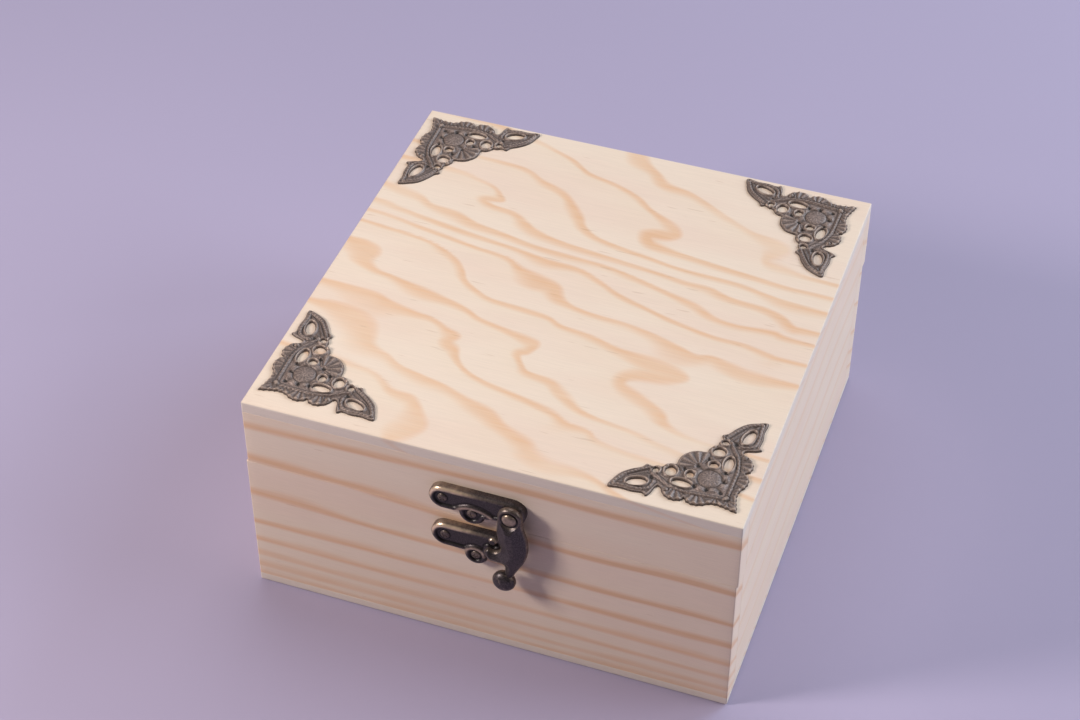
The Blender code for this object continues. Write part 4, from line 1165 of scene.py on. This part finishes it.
def screw_tree(material):
    """Node tree that sets a cross-headed screw on each point, along the point's facing."""
    tree = bpy.data.node_groups.new("Small screws", "GeometryNodeTree")
    face = tree.interface
    face.new_socket("Places", in_out="INPUT", socket_type="NodeSocketGeometry")
    for name, amount in (("Head radius", 0.0016), ("Head height", 0.0006), ("Recess width", 0.00042),
                         ("Shank length", 0.0055)):
        made = face.new_socket(name, in_out="INPUT", socket_type="NodeSocketFloat")
        made.subtype = "DISTANCE"
        made.default_value = amount
    seed = face.new_socket("Turn seed", in_out="INPUT", socket_type="NodeSocketInt")
    seed.default_value = 4
    face.new_socket("Screws", in_out="OUTPUT", socket_type="NodeSocketGeometry")
    new, link = tree.nodes.new, tree.links.new
    given, result = new("NodeGroupInput"), new("NodeGroupOutput")

    def vector(*amounts):
        node = new("ShaderNodeCombineXYZ")
        for socket, item in zip(node.inputs, amounts):
            value_of(tree, socket, item)
        return node.outputs[0]

    def moved(geometry, offset=None, scale=None):
        node = new("GeometryNodeTransform")
        link(geometry, node.inputs["Geometry"])
        if offset:
            link(offset, node.inputs["Translation"])
        if scale:
            link(scale, node.inputs["Scale"])
        return node.outputs[0]

    radius, height = given.outputs["Head radius"], given.outputs["Head height"]
    width, shank = given.outputs["Recess width"], given.outputs["Shank length"]
    ball = new("GeometryNodeMeshUVSphere")
    ball.inputs["Segments"].default_value = 28
    ball.inputs["Rings"].default_value = 14
    ball.inputs["Radius"].default_value = 1.0
    head = moved(ball.outputs["Mesh"], None, vector(radius, radius, height))
    cutters = []
    long_side = calculate(tree, "MULTIPLY", radius, 1.15)
    depth = vector(0.0, 0.0, calculate(tree, "MULTIPLY", height, 1.05))
    for turned_over in (False, True):
        cube = new("GeometryNodeMeshCube")
        size = vector(width, long_side, height) if turned_over else vector(long_side, width, height)
        link(size, cube.inputs["Size"])
        cutters.append(moved(cube.outputs["Mesh"], depth))
    cut = new("GeometryNodeMeshBoolean")
    cut.operation = "DIFFERENCE"
    cut.solver = "EXACT"
    link(head, cut.inputs["Mesh 1"])
    for cutter in cutters:
        link(cutter, cut.inputs["Mesh 2"])
    stem = new("GeometryNodeMeshCone")
    stem.inputs["Vertices"].default_value = 16
    link(calculate(tree, "MULTIPLY", radius, 0.12), stem.inputs["Radius Top"])
    link(calculate(tree, "MULTIPLY", radius, 0.5), stem.inputs["Radius Bottom"])
    link(shank, stem.inputs["Depth"])
    turn = new("GeometryNodeTransform")
    link(stem.outputs["Mesh"], turn.inputs["Geometry"])
    turn.inputs["Rotation"].default_value = (math.pi, 0, 0)
    joined = new("GeometryNodeJoinGeometry")
    link(turn.outputs[0], joined.inputs[0])
    link(cut.outputs["Mesh"], joined.inputs[0])

    facing = new("GeometryNodeInputNamedAttribute")
    facing.data_type = "FLOAT_VECTOR"
    facing.inputs["Name"].default_value = "facing"
    align = new("FunctionNodeAlignRotationToVector")
    align.axis = "Z"
    link(facing.outputs["Attribute"], align.inputs["Vector"])
    spin = new("FunctionNodeRandomValue")
    spin.data_type = "FLOAT"
    spin.inputs[2].default_value = 0.0
    spin.inputs[3].default_value = math.pi / 2
    link(given.outputs["Turn seed"], spin.inputs["Seed"])
    about = new("FunctionNodeAxisAngleToRotation")
    about.inputs["Axis"].default_value = (0, 0, 1)
    link(spin.outputs[1], about.inputs["Angle"])
    rotate = new("FunctionNodeRotateRotation")
    rotate.rotation_space = "LOCAL"
    link(align.outputs[0], rotate.inputs["Rotation"])
    link(about.outputs[0], rotate.inputs["Rotate By"])
    instance = new("GeometryNodeInstanceOnPoints")
    link(given.outputs["Places"], instance.inputs["Points"])
    link(joined.outputs[0], instance.inputs["Instance"])
    link(rotate.outputs[0], instance.inputs["Rotation"])
    real = new("GeometryNodeRealizeInstances")
    link(instance.outputs[0], real.inputs[0])
    finish = new("GeometryNodeSetMaterial")
    finish.inputs["Material"].default_value = material
    link(real.outputs[0], finish.inputs["Geometry"])
    link(finish.outputs[0], result.inputs[0])
    return tree


def driven_screws(name, places, body, nodes):
    """Screws at the places, which are (point, facing) pairs, as one plain mesh."""
    wanted = bpy.context.scene.storage_box
    mesh = bpy.data.meshes.new(name)
    mesh.from_pydata([tuple(p) for p, _ in places], [], [])
    facing = mesh.attributes.new("facing", "FLOAT_VECTOR", "POINT")
    facing.data.foreach_set("vector", np.array([tuple(f) for _, f in places], np.float32).ravel())
    made = bpy.data.objects.new(name, mesh)
    bpy.context.scene.collection.objects.link(made)
    tree = bpy.data.node_groups.get("Small screws") or screw_tree(finishes()["latch_metal"])
    modifier = made.modifiers.new("Screws", "NODES")
    modifier.node_group = tree
    sockets = {item.name: item.identifier for item in tree.interface.items_tree if item.in_out == "INPUT"}
    modifier[sockets["Head radius"]] = wanted.screw_head
    evaluated = made.evaluated_get(bpy.context.evaluated_depsgraph_get())
    solid = bpy.data.meshes.new_from_object(evaluated)
    made.modifiers.clear()
    made.data = solid
    solid.shade_smooth()
    solid.set_sharp_from_angle(angle=math.radians(40))
    for label, amount in (("wear_and_highlight", 0.26), ("patina_and_shade", 0.0)):
        paint(made, label, [amount] * len(solid.vertices))
    return settle(made, body, nodes)


def make_screws():
    size = PLATE_LENGTH
    seat = 2.25 * MM
    for body, half, corner, shares in (("lid", "upper", RIVET, UPPER_SCREWS),
                                       ("base", "lower", LOWER_PLATE, LOWER_SCREWS)):
        places = [(corner + RIGHT * x * size + UP * y * size + OUT * seat, OUT) for x, y in shares]
        nodes = [f"latch_{half}_left_screw", f"latch_{half}_middle_screw"]
        side = 1 if body == "lid" else -1
        for hand, x_middle in HINGE_MIDDLES:
            for number, x in enumerate(HINGE_SCREW_X, 1):
                spot = Vector((x_middle + x * MM, BACK + 0.6 * MM, SEAM + side * HINGE_SCREW_Z * MM))
                places.append((spot, BACKWARD))
                nodes.append(f"hinge_{hand}_{body}_screw_{number}")
        driven_screws(f"{body}_screws", places, body, nodes)


# Stage

CAMERA_PLACE = (0.17546, -0.52115, 0.55781)
CAMERA_AXES = ((0.942346, 0.334633, -0.001901), (-0.224943, 0.637638, 0.736762),
               (0.247757, -0.693858, 0.676149))
LENS = 75.2
FLOOR_REACH = 6.0
FLOOR_HEIGHT = -0.00025
# Lamps, all aimed at the middle of the box: name, place, size, power, colour
LAMPS = (
    ("overhead", (-0.25, 0.55, 1.5), 1.1, 7.6, (1.0, 0.97, 0.97)),
    ("near_left", (-0.56, -0.40, 0.47), 0.20, 4.4, (1.0, 0.93, 0.895)),
    ("right", (1.3, 0.3, 0.7), 0.9, 11.5, (0.91, 0.94, 1.0)),
    ("back_right", (0.9, 1.2, 0.9), 0.9, 16.0, (0.68, 0.83, 1.0)),
)
LAMP_TARGET = (0, 0, 0.05)
WORLD_COLOR = (0.93, 0.93, 1.0, 1)
WORLD_STRENGTH = 0.08


def soft_lamp(name, place, size, power, color):
    data = bpy.data.lights.new(name, "AREA")
    data.shape = "DISK"
    data.size = size
    data.energy = power
    data.color = color
    made = bpy.data.objects.new(name, data)
    bpy.context.scene.collection.objects.link(made)
    made.location = place
    made.rotation_euler = (Vector(LAMP_TARGET) - Vector(place)).to_track_quat("-Z", "Y").to_euler()


def make_stage():
    scene = bpy.context.scene
    wanted = scene.storage_box
    floor, tree, shader = fresh_material("floor_card")
    shader.inputs["Roughness"].default_value = 0.8
    tone = noise(tree, object_place(tree), 3.0, 2, 0.5)
    base = tuple(wanted.floor_color)
    color = mixed(tree, ramp(tree, tone, 0.3, 0.7), tuple(c * 0.97 for c in base), base)
    tree.links.new(color, shader.inputs["Base Color"])
    mesh = bpy.data.meshes.new("floor")
    corners = ((-1, -1), (1, -1), (1, 1), (-1, 1))
    mesh.from_pydata([(x * FLOOR_REACH, y * FLOOR_REACH, FLOOR_HEIGHT) for x, y in corners], [],
                     [(0, 1, 2, 3)])
    mesh.materials.append(floor)
    ground = bpy.data.objects.new("floor", mesh)
    scene.collection.objects.link(ground)

    for lamp in LAMPS:
        soft_lamp(*lamp)

    world = bpy.data.worlds.new("studio")
    scene.world = world
    world.use_nodes = True
    background = world.node_tree.nodes["Background"]
    background.inputs["Color"].default_value = WORLD_COLOR
    background.inputs["Strength"].default_value = WORLD_STRENGTH

    data = bpy.data.cameras.new("camera")
    data.lens = LENS
    data.sensor_width = 36
    data.clip_start = 0.01
    data.clip_end = 50
    camera = bpy.data.objects.new("camera", data)
    scene.collection.objects.link(camera)
    turn = Matrix(CAMERA_AXES).transposed().to_4x4()
    camera.matrix_world = Matrix.Translation(CAMERA_PLACE) @ turn
    scene.camera = camera
    scene.view_settings.view_transform = "Standard"


# Operators

class BOX_OT_boards(bpy.types.Operator):
    """Make the boards of the base and of the lid"""
    bl_idname = "storage_box.boards"
    bl_label = "Boards"

    def execute(self, context):
        make_boards()
        return {"FINISHED"}


class BOX_OT_ornaments(bpy.types.Operator):
    """Cast the four corner ornaments of the lid"""
    bl_idname = "storage_box.ornaments"
    bl_label = "Corner ornaments"

    def execute(self, context):
        make_ornaments()
        return {"FINISHED"}


class BOX_OT_latch(bpy.types.Operator):
    """Cast the latch's plates, hook and rivet"""
    bl_idname = "storage_box.latch"
    bl_label = "Latch"

    def execute(self, context):
        make_latch()
        return {"FINISHED"}


class BOX_OT_hinges(bpy.types.Operator):
    """Make the leaves and pins of both hinges"""
    bl_idname = "storage_box.hinges"
    bl_label = "Hinges"

    def execute(self, context):
        make_hinges()
        return {"FINISHED"}


class BOX_OT_screws(bpy.types.Operator):
    """Drive the screws of the latch and of the hinges"""
    bl_idname = "storage_box.screws"
    bl_label = "Screws"

    def execute(self, context):
        make_screws()
        return {"FINISHED"}


class BOX_OT_stage(bpy.types.Operator):
    """Make the floor, the lights and the camera"""
    bl_idname = "storage_box.stage"
    bl_label = "Stage"

    def execute(self, context):
        make_stage()
        return {"FINISHED"}


OPERATORS = (BOX_OT_boards, BOX_OT_ornaments, BOX_OT_latch, BOX_OT_hinges, BOX_OT_screws, BOX_OT_stage)


class BOX_PT_panel(bpy.types.Panel):
    """Sizes, colours and pieces of the storage box"""
    bl_idname = "BOX_PT_panel"
    bl_label = "Storage Box"
    bl_space_type = "VIEW_3D"
    bl_region_type = "UI"
    bl_category = "Storage Box"

    def draw(self, context):
        for name in BoxSettings.__annotations__:
            self.layout.prop(context.scene.storage_box, name)
        for operator in OPERATORS:
            self.layout.operator(operator.bl_idname)


CLASSES = (BoxSettings, *OPERATORS, BOX_PT_panel)


def register():
    for item in CLASSES:
        bpy.utils.register_class(item)
    bpy.types.Scene.storage_box = bpy.props.PointerProperty(type=BoxSettings)


def unregister():
    del bpy.types.Scene.storage_box
    for item in reversed(CLASSES):
        bpy.utils.unregister_class(item)


def main():
    register()
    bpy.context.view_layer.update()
    bpy.ops.storage_box.boards()
    bpy.ops.storage_box.ornaments()
    bpy.ops.storage_box.latch()
    bpy.ops.storage_box.hinges()
    bpy.ops.storage_box.screws()
    bpy.ops.storage_box.stage()


if __name__ == "__main__":
    main()
